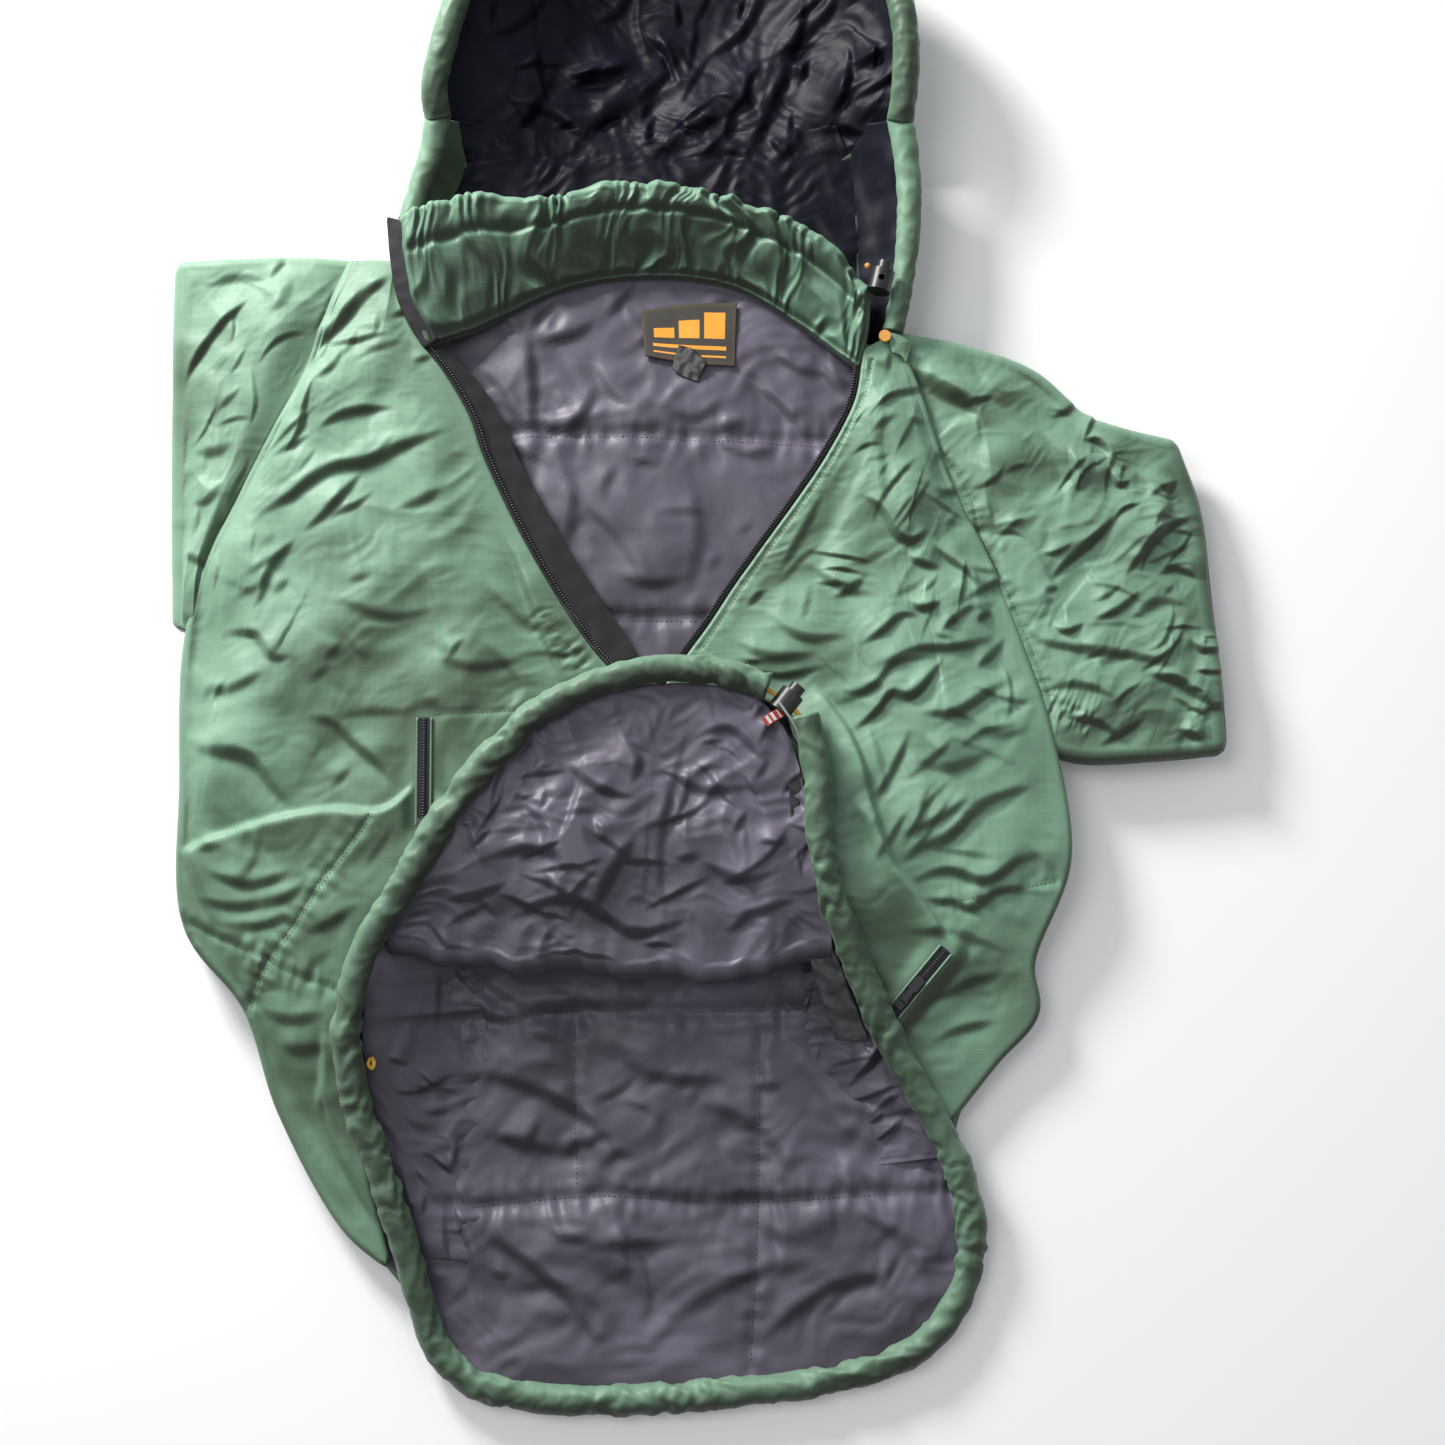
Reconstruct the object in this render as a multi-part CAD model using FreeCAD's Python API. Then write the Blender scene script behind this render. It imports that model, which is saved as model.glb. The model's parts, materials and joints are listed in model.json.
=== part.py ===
import FreeCAD, Part
import math
import os

# Insulated hooded half-zip bivouac anorak, laid on its back with the front hem
# turned up. Millimetres; +Z up, +Y towards the hood, +X towards the wearer's left.
# Each panel is built as it is sewn: shell fabric, insulation, lining.

# ------------------------------------------------------------------ sizes
CLOTH = 1.0          # shell or lining fabric with its seam allowance
PLY_GAP = 0.2        # air between two plies
FILL = 6.4           # insulation of the body and hood
SLEEVE_FILL = 3.0    # insulation of the sleeves
SLEEVE_H = 20.0      # height of a sleeve lying flat
HEM_R = 9.5          # hem channel, outer radius
HEM_WALL = 1.5
CORD_R = 1.5         # elastic drawcords
RIM_R = 9.0          # hood rim channel, outer radius
RIM_WALL = 1.2
BACK_LOW = 9.2       # top of the back lining near the hem
BACK_HIGH = 24.0     # and over the folded sleeves
SKIRT_GAP = 9.0      # between the two arms of the turned-up front
TAPE_W = 8.0         # half of the main zip: tape width
TAPE_T = 0.8
TEETH_W = 3.0
TEETH_T = 2.0
CHAIN_LEN = 46.0     # closed chain under the opening of the main zip
SLIDER_L = 12.0
SLIDER_TRAVEL = 20.0
POCKET_W = 9.0       # pocket zip: tape width
LOCK_R = 8.0         # cord lock barrel
LOCK_L = 15.0
PLUNGER_R = 5.2
PLUNGER_L = 15.0
PLUNGER_TRAVEL = 3.5
HOOD_AXIS = (339.5, 14.0)    # y, z of the line that the hood folds about
SHIFT = (7.0, -29.0, -0.3)          # brings the origin to the middle of the underside

# Guide lines (x, y, z of the named edge), seams and edges of the panels.
LINES = {
    # back panel, lining face
        "back_top": [(-240.1, 264.2, 24.0), (-208.1, 252.6, 24.0), (-172.0, 238.1, 24.0), (-137.8, 243.9,
        24.0), (-96.8, 261.3, 24.0), (-55.6, 270.0, 24.0), (-7.4, 270.0, 24.0), (27.0, 261.3, 24.0), (68.2,
        236.7, 24.0), (98.8, 214.4, 24.0), (122.8, 212.2, 24.0)],
        "back_left": [(-240.1, 264.2, 24.0), (-270.4, 185.8, 24.0), (-301.9, 118.6, 24.0), (-327.6, 52.6,
        24.0), (-337.6, 4.6, 24.0), (-338.9, -86.5, 24.0), (-333.9, -181.8, 22.0), (-294.9, -235.3, 15.0),
        (-270.7, -302.0, 10.0), (-227.8, -373.5, 9.0), (-192.9, -404.7, 9.0), (-157.7, -431.4, 9.0)],
        "back_right": [(122.8, 212.2, 24.0), (154.5, 146.8, 24.0), (184.6, 61.5, 24.0), (210.1, 1.1, 24.0),
        (231.5, -69.8, 24.0), (237.6, -140.7, 23.0), (213.4, -205.5, 16.0), (211.8, -237.8, 12.0), (186.0,
        -270.0, 9.5), (162.4, -314.8, 9.0), (155.1, -364.1, 9.0), (145.3, -409.1, 9.0)],
        "back_bottom": [(-157.7, -431.4, 9.0), (-113.8, -460.9, 9.0), (-50.2, -464.6, 9.0), (26.1, -458.4,
        9.0), (89.8, -451.1, 9.0), (120.6, -437.5, 9.0), (145.3, -409.1, 9.0)],
    # left front panel, outer face
        "lf_inner": [(111.6, 201.4, 46.0), (105.8, 167.3, 47.0), (86.7, 129.1, 47.0), (66.5, 98.3, 46.0),
        (39.8, 61.0, 45.0), (23.3, 37.4, 44.0), (8.1, 13.8, 43.5), (-6.4, -6.2, 43.0), (-27.9, -36.3,
        43.0)],
        "lf_outer": [(130.4, 213.5, 40.0), (144.6, 176.4, 41.0), (163.8, 113.9, 40.0), (189.6, 58.0, 38.0),
        (211.5, -1.6, 37.0), (229.9, -63.0, 36.0), (238.4, -140.6, 34.5), (214.4, -206.2, 27.0), (216.8,
        -238.2, 23.0), (190.5, -268.9, 20.5), (160.2, -305.7, 19.2)],
        "lf_top": [(111.6, 201.4, 46.0), (121.3, 208.1, 43.0), (130.4, 213.5, 40.0)],
        "lf_bottom": [(-27.9, -36.3, 43.0), (0.2, -29.7, 43.0), (36.3, -32.3, 43.0), (64.4, -49.6, 43.0),
        (73.2, -89.4, 44.0), (75.5, -131.9, 44.0), (85.6, -176.8, 40.0), (101.8, -213.0, 32.5), (121.9,
        -253.6, 24.5), (134.1, -274.0, 21.6), (160.2, -305.7, 19.2)],
    # right front panel, outer face
        "rf_inner": [(-208.5, 263.9, 46.0), (-204.4, 238.2, 46.0), (-194.3, 213.4, 46.0), (-173.4, 185.2,
        46.0), (-155.3, 153.7, 46.0), (-146.8, 129.4, 46.0), (-129.5, 91.6, 45.5), (-105.7, 47.5, 44.5),
        (-80.1, 7.1, 43.5), (-62.2, -14.9, 43.0), (-37.1, -36.3, 43.0)],
        "rf_outer": [(-237.4, 266.4, 40.0), (-268.1, 179.6, 42.0), (-301.0, 113.9, 40.0), (-327.5, 51.1,
        38.0), (-338.5, 2.0, 36.0), (-337.4, -88.1, 35.0), (-331.2, -182.7, 33.0), (-292.3, -234.5, 27.0),
        (-268.6, -300.6, 20.5), (-226.0, -372.9, 19.5), (-199.9, -395.9, 19.2)],
        "rf_top": [(-208.5, 263.9, 46.0), (-223.2, 265.9, 43.0), (-237.4, 266.4, 40.0)],
        "rf_bottom": [(-37.1, -36.3, 43.0), (-65.3, -34.3, 43.0), (-101.1, -48.3, 43.0), (-136.5, -77.4,
        43.0), (-164.8, -116.9, 44.0), (-189.5, -159.9, 45.0), (-216.2, -204.0, 43.0), (-226.7, -250.2,
        37.0), (-222.5, -297.5, 27.0), (-213.1, -347.9, 20.5), (-199.9, -395.9, 19.2)],
    # sections of the sleeves above the elbow: shoulder side and underarm side
        "lsec0": [(136.6, 210.7, 38.0), (236.7, -61.5, 34.8)],
        "lsec1": [(176.1, 204.0, 35.0), (253.9, -67.2, 33.0)],
        "lsec2": [(223.2, 187.1, 34.6), (277.2, -68.1, 34.6)],
        "lsec3": [(261.5, 153.2, 34.6), (299.6, -66.8, 34.6)],
        "lsec4": [(313.6, 137.8, 34.6), (336.4, -64.2, 34.6)],
        "rsec0": [(-246.0, 264.7, 37.0), (-342.1, 16.4, 35.0)],
        "rsec1": [(-301.1, 265.5, 35.0), (-343.4, 21.3, 34.6)],
        "rsec2": [(-350.3, 264.2, 34.6), (-344.6, 26.0, 34.6)],
    # hem channel centre line, either side of the hem lock
        "tube_a": [(-224.4, -250.6, 50.0), (-213.8, -203.6, 57.0), (-188.2, -160.2, 62.0), (-163.4, -117.1,
        65.0), (-133.4, -77.7, 65.5), (-100.5, -46.5, 66.0), (-62.1, -28.2, 66.0), (-25.4, -20.3, 66.0),
        (10.2, -21.6, 66.0), (44.3, -32.8, 66.0)],
        "tube_b": [(67.4, -51.0, 65.5), (75.0, -84.6, 64.0), (77.3, -124.3, 61.0), (84.3, -164.0, 54.5),
        (100.4, -207.3, 45.5), (119.0, -248.9, 37.5), (140.2, -288.0, 30.5), (161.3, -325.8, 24.0), (173.5,
        -366.8, 16.0), (171.4, -405.8, 10.6), (151.1, -439.9, 9.8), (117.0, -461.4, 9.8), (69.3, -471.8,
        9.8), (13.4, -477.3, 9.8), (-50.0, -481.6, 9.8), (-107.1, -479.8, 9.8), (-145.3, -469.3, 10.2),
        (-166.9, -448.1, 13.5), (-176.8, -417.9, 21.0), (-186.8, -383.5, 28.0), (-200.1, -342.9, 35.0),
        (-217.4, -296.1, 42.0), (-224.4, -250.6, 50.0)],
    # collar band
        "col_top": [(-203.2, 289.2, 54.0), (-175.8, 297.5, 58.0), (-148.9, 303.3, 58.0), (-101.5, 300.4,
        58.0), (-54.3, 311.4, 59.0), (-0.2, 306.4, 59.0), (53.8, 287.5, 58.0), (87.4, 262.7, 56.0), (106.2,
        233.1, 52.0)],
        "col_bot": [(-183.8, 209.1, 48.0), (-156.3, 221.4, 38.0), (-136.6, 232.2, 34.0), (-96.2, 252.5,
        31.5), (-55.2, 261.4, 31.0), (-7.3, 261.4, 31.0), (27.0, 253.4, 31.0), (67.8, 227.1, 34.0), (95.4,
        197.2, 46.0)],
        "col_l": [(-203.2, 289.2, 54.0), (-199.9, 262.5, 53.0), (-194.8, 236.3, 51.0), (-183.8, 209.1,
        48.0)],
        "col_r": [(106.2, 233.1, 52.0), (102.1, 215.8, 49.0), (95.4, 197.2, 46.0)],
    # hood
        "hn_bot": [(-159.8, 251.1, 13.0), (-97.9, 278.9, 13.0), (-42.4, 286.2, 13.0), (13.3, 284.7, 13.0),
        (75.6, 251.1, 13.0)],
        "hn_top": [(-161.6, 335.0, 13.0), (-98.6, 335.0, 13.0), (-42.7, 335.0, 13.0), (13.2, 335.0, 13.0),
        (76.2, 335.0, 13.0)],
        "hd_bot": [(-160.7, 343.8, 10.0), (-99.0, 343.8, 10.0), (-42.9, 343.8, 10.0), (13.2, 343.8, 10.0),
        (69.4, 343.8, 10.0)],
        "hd_l": [(-160.7, 343.8, 10.0), (-175.9, 363.1, 26.0), (-180.4, 382.0, 48.0), (-174.1, 412.7, 60.0),
        (-163.7, 448.6, 62.0), (-148.2, 486.9, 60.0), (-98.2, 526.3, 52.0)],
        "hd_r": [(69.4, 343.8, 10.0), (119.0, 363.1, 26.0), (135.6, 382.0, 48.0), (136.5, 420.1, 60.0),
        (128.7, 463.4, 62.0), (104.5, 501.9, 60.0), (55.1, 532.4, 52.0)],
        "hd_top": [(-98.2, 526.3, 52.0), (-56.6, 538.2, 50.0), (-0.7, 539.7, 50.0), (55.1, 532.4, 52.0)],
        "rim": [(-179.6, 366.9, 52.0), (-181.3, 382.4, 62.0), (-174.2, 414.8, 70.0), (-163.9, 450.4, 72.0),
        (-148.4, 487.1, 70.0), (-111.1, 522.1, 64.0), (-56.1, 538.1, 60.0), (-0.6, 540.4, 60.0), (61.7,
        531.1, 64.0), (108.0, 500.5, 70.0), (131.3, 459.3, 72.0), (139.7, 414.8, 70.0), (138.6, 379.0,
        60.0), (136.3, 363.9, 52.0)],
    # main zip and its flap
        "zl_edge": [(111.7, 202.1, 44.0), (105.9, 168.2, 44.5), (86.8, 129.9, 44.5), (66.6, 99.1, 43.5),
        (39.9, 61.6, 42.5), (23.3, 38.0, 41.5), (8.1, 14.4, 41.0), (-6.4, -5.7, 40.5), (-23.4, -29.2,
        40.5)],
        "zr_edge": [(-187.7, 203.7, 43.5), (-172.4, 184.0, 43.5), (-155.6, 154.5, 43.5), (-147.1, 130.2,
        43.5), (-129.8, 92.3, 43.0), (-105.9, 48.1, 42.0), (-80.3, 7.7, 41.0), (-62.3, -14.4, 40.5), (-40.5,
        -30.5, 40.5)],
        "flap_a": [(-186.8, 206.2, 40.5), (-167.5, 185.2, 40.0), (-150.1, 155.8, 39.5), (-141.5, 131.4,
        39.5), (-124.1, 93.3, 39.5), (-100.2, 48.8, 39.0), (-74.5, 8.2, 38.5), (-57.8, -11.3, 38.5)],
        "flap_b": [(-173.9, 206.4, 36.0), (-151.8, 184.1, 35.0), (-135.1, 157.3, 35.0), (-125.2, 132.8,
        35.0), (-107.2, 98.0, 35.0), (-84.0, 58.7, 35.0), (-57.0, 17.8, 35.0), (-42.2, -5.2, 35.0)],
    # lining beside the mouth
        "rsl_a": [(-214.0, -231.1, 36.0), (-215.9, -253.2, 32.0), (-209.2, -297.5, 26.0), (-192.3, -344.8,
        19.0), (-175.9, -392.6, 13.5)],
        "rsl_b": [(-146.0, -231.8, 24.0), (-151.1, -259.2, 19.5), (-153.5, -300.7, 14.0), (-150.2, -348.2,
        12.0), (-144.1, -392.7, 11.8)],
        "lsl_a": [(101.3, -226.9, 28.5), (110.9, -249.8, 25.0), (131.5, -291.1, 18.5), (148.1, -329.9,
        13.5)],
        "lsl_b": [(53.6, -229.2, 23.5), (61.4, -256.0, 18.5), (73.0, -294.3, 13.5), (92.1, -338.8, 11.2)],
    # turned-up front: start, fold and end
        "sk_s": [(-156.9, -127.2, 43.0), (-130.4, -88.0, 43.0), (-96.4, -58.3, 43.0), (-62.5, -44.3, 43.0),
        (-31.1, -43.6, 43.0), (1.6, -40.3, 43.0), (34.3, -43.6, 43.0), (57.8, -60.2, 43.0), (67.5, -70.8,
        43.0)],
        "sk_f": [(-181.1, -197.0, 43.0), (-147.0, -199.5, 43.0), (-108.5, -202.1, 43.0), (-70.0, -203.3,
        43.0), (-31.5, -204.0, 43.0), (7.0, -204.0, 43.0), (39.0, -202.1, 43.0), (61.5, -199.5, 43.0),
        (77.6, -195.7, 43.0)],
        "sk_e": [(-143.1, -118.0, 52.0), (-119.9, -82.8, 52.0), (-89.1, -60.5, 52.0), (-55.5, -46.6, 52.0),
        (-24.4, -40.0, 52.0), (8.2, -41.3, 52.0), (32.9, -49.2, 52.0), (48.4, -67.7, 52.0), (54.8, -85.4,
        52.0)],
}

V = FreeCAD.Vector
OUT = {}


def put(name, *solids):
    """Keep the solids as one node, moved into the row frame."""
    shape = solids[0] if len(solids) == 1 else Part.makeCompound(list(solids))
    shape = shape.copy()
    shape.translate(V(*SHIFT))
    OUT[name] = shape


def pts(name):
    return [V(*p) for p in LINES[name]]


def spread(line, n):
    """n points evenly spaced along the line through the given points."""
    length = [0.0]
    for a, b in zip(line, line[1:]):
        length.append(length[-1] + (b - a).Length)
    res = []
    k = 0
    for i in range(n):
        s = length[-1] * i / (n - 1.0)
        while k < len(line) - 2 and s > length[k + 1]:
            k += 1
        t = (s - length[k]) / (length[k + 1] - length[k])
        res.append(line[k] + (line[k + 1] - line[k]) * min(1.0, t))
    return res


def coons(bottom, top, left, right, nu, nv):
    """Grid [v][u] over four edge lines; bottom and top run along u."""
    b, t = spread(bottom, nu), spread(top, nu)
    l, r = spread(left, nv), spread(right, nv)
    grid = []
    for j in range(nv):
        v = j / (nv - 1.0)
        row = []
        for i in range(nu):
            u = i / (nu - 1.0)
            p = b[i] * (1 - v) + t[i] * v + l[j] * (1 - u) + r[j] * u
            p = p - (b[0] * ((1 - u) * (1 - v)) + b[-1] * (u * (1 - v)) + t[0] * ((1 - u) * v) + t[-1] * (u * v))
            row.append(p)
        grid.append(row)
    return grid


def face(grid):
    s = Part.BSplineSurface()
    s.interpolate(grid)
    return s.toShape()


def slab(grid, drop, thick):
    """Sheet of the given vertical thickness whose top lies `drop` under the grid."""
    f = face(grid)
    f.translate(V(0, 0, -drop))
    return as_solid(f.extrude(V(0, 0, -thick)))


def as_solid(shape):
    s = shape.Solids[0] if shape.Solids else Part.makeSolid(shape)
    if s.Volume < 0:
        s.reverse()
    return s


def plies(names, grid, outer_up=True):
    """Shell, insulation and lining parallel to one grid, top down when outer_up."""
    order = [CLOTH, FILL, CLOTH]
    z = 0.0
    res = []
    for t in order:
        res.append(slab(grid, z, t))
        z += t + PLY_GAP
    if not outer_up:
        res.reverse()
    return dict(zip(names, res))


def offset2d(line, d, n=15):
    """Line moved sideways by d (to its left, seen from above), height kept."""
    p = spread(line, n)
    res = []
    for i, q in enumerate(p):
        a, b = p[max(0, i - 1)], p[min(n - 1, i + 1)]
        t = V(b.x - a.x, b.y - a.y, 0)
        t.normalize()
        res.append(V(q.x - t.y * d, q.y + t.x * d, q.z))
    return res


def strip(line, d1, d2, drop, thick, n=15):
    a, b = offset2d(line, d1, n), offset2d(line, d2, n)
    mid = [(p + q) * 0.5 for p, q in zip(a, b)]
    return slab([a, mid, b], drop, thick)


def rounded_path(p, factor=0.45):
    """Straight runs joined by tangent arcs, as large as the runs allow."""
    edges = []
    radii = []
    start = p[0]
    for i in range(1, len(p) - 1):
        a, b, c = p[i - 1], p[i], p[i + 1]
        u, w = (a - b), (c - b)
        lu, lw = u.Length, w.Length
        u.normalize()
        w.normalize()
        turn = math.pi - math.acos(max(-1.0, min(1.0, u.dot(w))))
        cut = factor * min(lu, lw)
        radii.append(cut / math.tan(turn / 2.0))
        s, e = b + u * cut, b + w * cut
        m = (u + w)
        m.normalize()
        half = turn / 2.0
        mid = b + m * (radii[-1] / math.cos(half) - radii[-1])
        edges.append(Part.LineSegment(start, s).toShape())
        edges.append(Part.Arc(s, mid, e).toShape())
        start = e
    edges.append(Part.LineSegment(start, p[-1]).toShape())
    return Part.Wire(edges), radii


def rod(p, r, label):
    """Round solid of radius r along the rounded path through p."""
    wire, radii = rounded_path(p)
    d = p[1] - p[0]
    d.normalize()
    ring = Part.Wire([Part.Circle(p[0], d, r).toShape()])
    s = as_solid(wire.makePipeShell([ring], True, False))
    want = math.pi * r * r * wire.Length
    print("%-16s length %7.1f  least radius %6.1f  volume/expected %.3f" % (label, wire.Length, min(radii), s.Volume / want))
    return s


def pipe(p, r, wall, label):
    return as_solid(rod(p, r, label).cut(rod(p, r - wall, label + " bore")))


def flat_tube_wire(a, b, h, inset):
    """Stadium standing on the line a-b, h high, shrunk by inset all round."""
    d = V(b.x - a.x, b.y - a.y, 0)
    length = d.Length
    d.normalize()
    z = (a.z + b.z) / 2.0
    r = h / 2.0 - inset
    c1 = V(a.x, a.y, z) + d * (h / 2.0)
    c2 = V(a.x, a.y, z) + d * (length - h / 2.0)
    up = V(0, 0, r)
    e = [Part.LineSegment(c1 + up, c2 + up).toShape(),
         Part.Arc(c2 + up, c2 + d * r, c2 - up).toShape(),
         Part.LineSegment(c2 - up, c1 - up).toShape(),
         Part.Arc(c1 - up, c1 - d * r, c1 + up).toShape()]
    return Part.Wire(e)


def flat_tube(sections, h, outer, inner):
    """Hollow flattened tube through the sections, between two insets."""
    o = Part.makeLoft([flat_tube_wire(a, b, h, outer) for a, b in sections], True, True)
    i = Part.makeLoft([flat_tube_wire(a, b, h, inner) for a, b in sections], True, True)
    return as_solid(o.cut(i))


def bar(a, b, width, height, lift=0.0, up=V(0, 0, 1)):
    """Box along a-b, `width` across, from `lift` to `lift + height` above the line."""
    d = b - a
    length = d.Length
    d.normalize()
    side = up.cross(d)
    side.normalize()
    n = d.cross(side)
    m = FreeCAD.Matrix(d.x, side.x, n.x, a.x, d.y, side.y, n.y, a.y, d.z, side.z, n.z, a.z, 0, 0, 0, 1)
    box = Part.makeBox(length, width, height, V(0, -width / 2.0, lift))
    return place(box, m)


def place(shape, m):
    s = shape.copy()
    s.Placement = FreeCAD.Placement(m).multiply(s.Placement)
    return s


def frame_of(a, b, up=V(0, 0, 1)):
    d = b - a
    d.normalize()
    side = up.cross(d)
    side.normalize()
    n = d.cross(side)
    return FreeCAD.Matrix(d.x, side.x, n.x, a.x, d.y, side.y, n.y, a.y, d.z, side.z, n.z, a.z, 0, 0, 0, 1)


# ------------------------------------------------------------------ body panels
back = coons(pts("back_bottom"), pts("back_top"), list(reversed(pts("back_left"))), list(reversed(pts("back_right"))), 13, 25)
for row in back:
    for i, p in enumerate(row):
        t = min(1.0, max(0.0, (p.y + 290.0) / 190.0))
        row[i] = V(p.x, p.y, BACK_LOW + (BACK_HIGH - BACK_LOW) * t * t * (3 - 2 * t))
for k, s in plies(["back_shell", "back_insulation", "back_lining"], back, outer_up=False).items():
    put(k, s)

left = coons(pts("lf_top"), pts("lf_bottom"), pts("lf_inner"), pts("lf_outer"), 13, 19)
right = coons(pts("rf_top"), pts("rf_bottom"), pts("rf_inner"), pts("rf_outer"), 11, 17)


def side_of_mouth(a, b):
    """Lining from the hem channel down to the back, beside the mouth."""
    a, b = spread(pts(a), 7), spread(pts(b), 7)
    mid = [p * 0.5 + q * 0.5 - V(0, 0, 1.0) for p, q in zip(a, b)]
    return slab([a, mid, b], 0.0, CLOTH)


lf = plies(["left_front_shell", "left_front_insulation", "left_front_lining"], left)
rf = plies(["right_front_shell", "right_front_insulation", "right_front_lining"], right)
put("left_front_shell", lf["left_front_shell"])
put("left_front_insulation", lf["left_front_insulation"])
put("left_front_lining", lf["left_front_lining"], side_of_mouth("lsl_a", "lsl_b"))
put("right_front_shell", rf["right_front_shell"])
put("right_front_insulation", rf["right_front_insulation"])
put("right_front_lining", rf["right_front_lining"], side_of_mouth("rsl_a", "rsl_b"))

# ------------------------------------------------------------------ turned-up front
NU = 9
S, F, E = spread(pts("sk_s"), NU), spread(pts("sk_f"), NU), spread(pts("sk_e"), NU)
HALF = SKIRT_GAP / 2.0


def turned_up(w, t):
    """Ply of thickness t, its inner face w outside the inner face of the fold."""
    low = [S, [(p + q) * 0.5 for p, q in zip(S, F)], F]
    high = [[V(p.x, p.y, p.z + SKIRT_GAP) for p in row] for row in (F, [(p + q) * 0.5 for p, q in zip(F, FE)], FE)]
    rings = []
    for f in F:
        c = V(f.x, f.y, f.z + HALF)
        r1, r2 = HALF + w, HALF + w + t
        e = [Part.Arc(c - V(0, 0, r2), c - V(0, r2, 0), c + V(0, 0, r2)).toShape(),
             Part.LineSegment(c + V(0, 0, r2), c + V(0, 0, r1)).toShape(),
             Part.Arc(c + V(0, 0, r1), c - V(0, r1, 0), c - V(0, 0, r1)).toShape(),
             Part.LineSegment(c - V(0, 0, r1), c - V(0, 0, r2)).toShape()]
        rings.append(Part.Wire(e))
    fold = Part.makeLoft(rings, True, True)
    return slab(low, w, t), as_solid(fold), slab(high, -(w + t), t)


FE = [V(p.x, p.y, q.z) for p, q in zip(E, F)]
w0 = 0.0
for name, t in (("front_skirt_shell", CLOTH), ("front_skirt_insulation", FILL - 0.6), ("front_skirt_lining", CLOTH)):
    put(name, *turned_up(w0, t))
    w0 += t + PLY_GAP

# ------------------------------------------------------------------ sleeves
P1, P2 = CLOTH, CLOTH + PLY_GAP
P3 = P2 + SLEEVE_FILL
P4 = P3 + PLY_GAP
P5 = P4 + 0.8
for side, key, n in (("left", "lsec", 5), ("right", "rsec", 3)):
    secs = []
    for i in range(n):
        a, b = pts("%s%d" % (key, i))
        z = a.z - SLEEVE_H / 2.0
        secs.append((V(a.x, a.y, z), V(b.x, b.y, b.z - SLEEVE_H / 2.0)))
    put(side + "_sleeve_shell", flat_tube(secs, SLEEVE_H, 0.0, P1))
    put(side + "_sleeve_insulation", flat_tube(secs, SLEEVE_H, P2, P3))
    put(side + "_sleeve_lining", flat_tube(secs, SLEEVE_H, P4, P5))

# forearms, folded flat under the body
LOW_H = 13.6
REST = 0.3          # the flat that the garment rests on


def forearm(a, b, wa, wb, cuff):
    d = b - a
    length = d.Length
    d.normalize()
    q = V(-d.y, d.x, 0)

    def sec(s, w):
        c = a + d * s
        return (c - q * (w / 2.0), c + q * (w / 2.0))
    wm = wa + (wb - wa) * (length - cuff) / length
    low = flat_tube([sec(0, wa), sec(length * 0.5, (wa + wb) / 2.0), sec(length - cuff - 0.4, wm)], LOW_H, 0.0, 4.0)
    low = as_solid(low.cut(Part.makeBox(1200, 1200, 1.0, V(-600, -600, REST - 1.0))))
    end = flat_tube([sec(length - cuff, wm + 1.0), sec(length, wb - 6.0)], LOW_H, 0.0, 3.0)
    end = as_solid(end.cut(Part.makeBox(1200, 1200, 1.0, V(-600, -600, REST - 1.0))))
    return low, end


low, end = forearm(V(318, 20, 7.2), V(16, -54, 7.2), 150.0, 104.0, 34.0)
put("left_lower_sleeve", low)
put("left_cuff", end)
low, end = forearm(V(-346, 150, 7.05), V(140, 150, 7.05), 118.0, 100.0, 34.0)
put("right_lower_sleeve", low)
put("right_cuff", end)

# ------------------------------------------------------------------ hem channel and its cord
ta, tb = pts("tube_a"), pts("tube_b")
tb[-1] = tb[-2] + (tb[-1] - tb[-2]) * 0.97
put("hem_channel", pipe(ta, HEM_R, HEM_WALL, "hem channel a"), pipe(tb, HEM_R, HEM_WALL, "hem channel b"))

# the cord runs inside the channel and through the lock
lock_c = (ta[-1] + tb[0]) * 0.5
lock_d = tb[0] - ta[-1]
lock_d.normalize()
put("hem_drawcord", rod(ta + tb, CORD_R, "hem drawcord"))


def cord_lock(c, along, out):
    """Barrel, plunger and spring. The cord passes along `along`; the button faces `out`."""
    out = V(out)
    out.normalize()
    base = c - out * (LOCK_L * 0.5)
    barrel = Part.makeCylinder(LOCK_R, LOCK_L, base, out)
    well = Part.makeCylinder(PLUNGER_R + 0.3, LOCK_L - 2.0 + 1.0, base + out * 2.0, out)
    hole = Part.makeCylinder(CORD_R + 0.6, 40.0, c - along * 20.0, along)
    barrel = as_solid(barrel.cut(well).cut(hole))
    start = base + out * 6.0
    plug = Part.makeCylinder(PLUNGER_R, PLUNGER_L, start, out)
    slot = None
    r = CORD_R + 0.5
    for s in (-PLUNGER_TRAVEL, 0.0):
        cyl = Part.makeCylinder(r, 40.0, c - along * 20.0 - out * s, along)
        slot = cyl if slot is None else slot.fuse(cyl)
    n = along.cross(out)
    n.normalize()
    m = FreeCAD.Matrix(along.x, out.x, n.x, c.x, along.y, out.y, n.y, c.y, along.z, out.z, n.z, c.z, 0, 0, 0, 1)
    mid = place(Part.makeBox(40.0, PLUNGER_TRAVEL, 2 * r, V(-20.0, 0.0, -r)), m)
    plug = as_solid(plug.cut(slot.fuse(mid)))
    spring_h = 4.0 - 0.2
    spring = Part.makeCylinder(3.4, spring_h, base + out * 2.1, out).cut(Part.makeCylinder(2.4, spring_h, base + out * 2.1, out))
    return barrel, plug, as_solid(spring)


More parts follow.
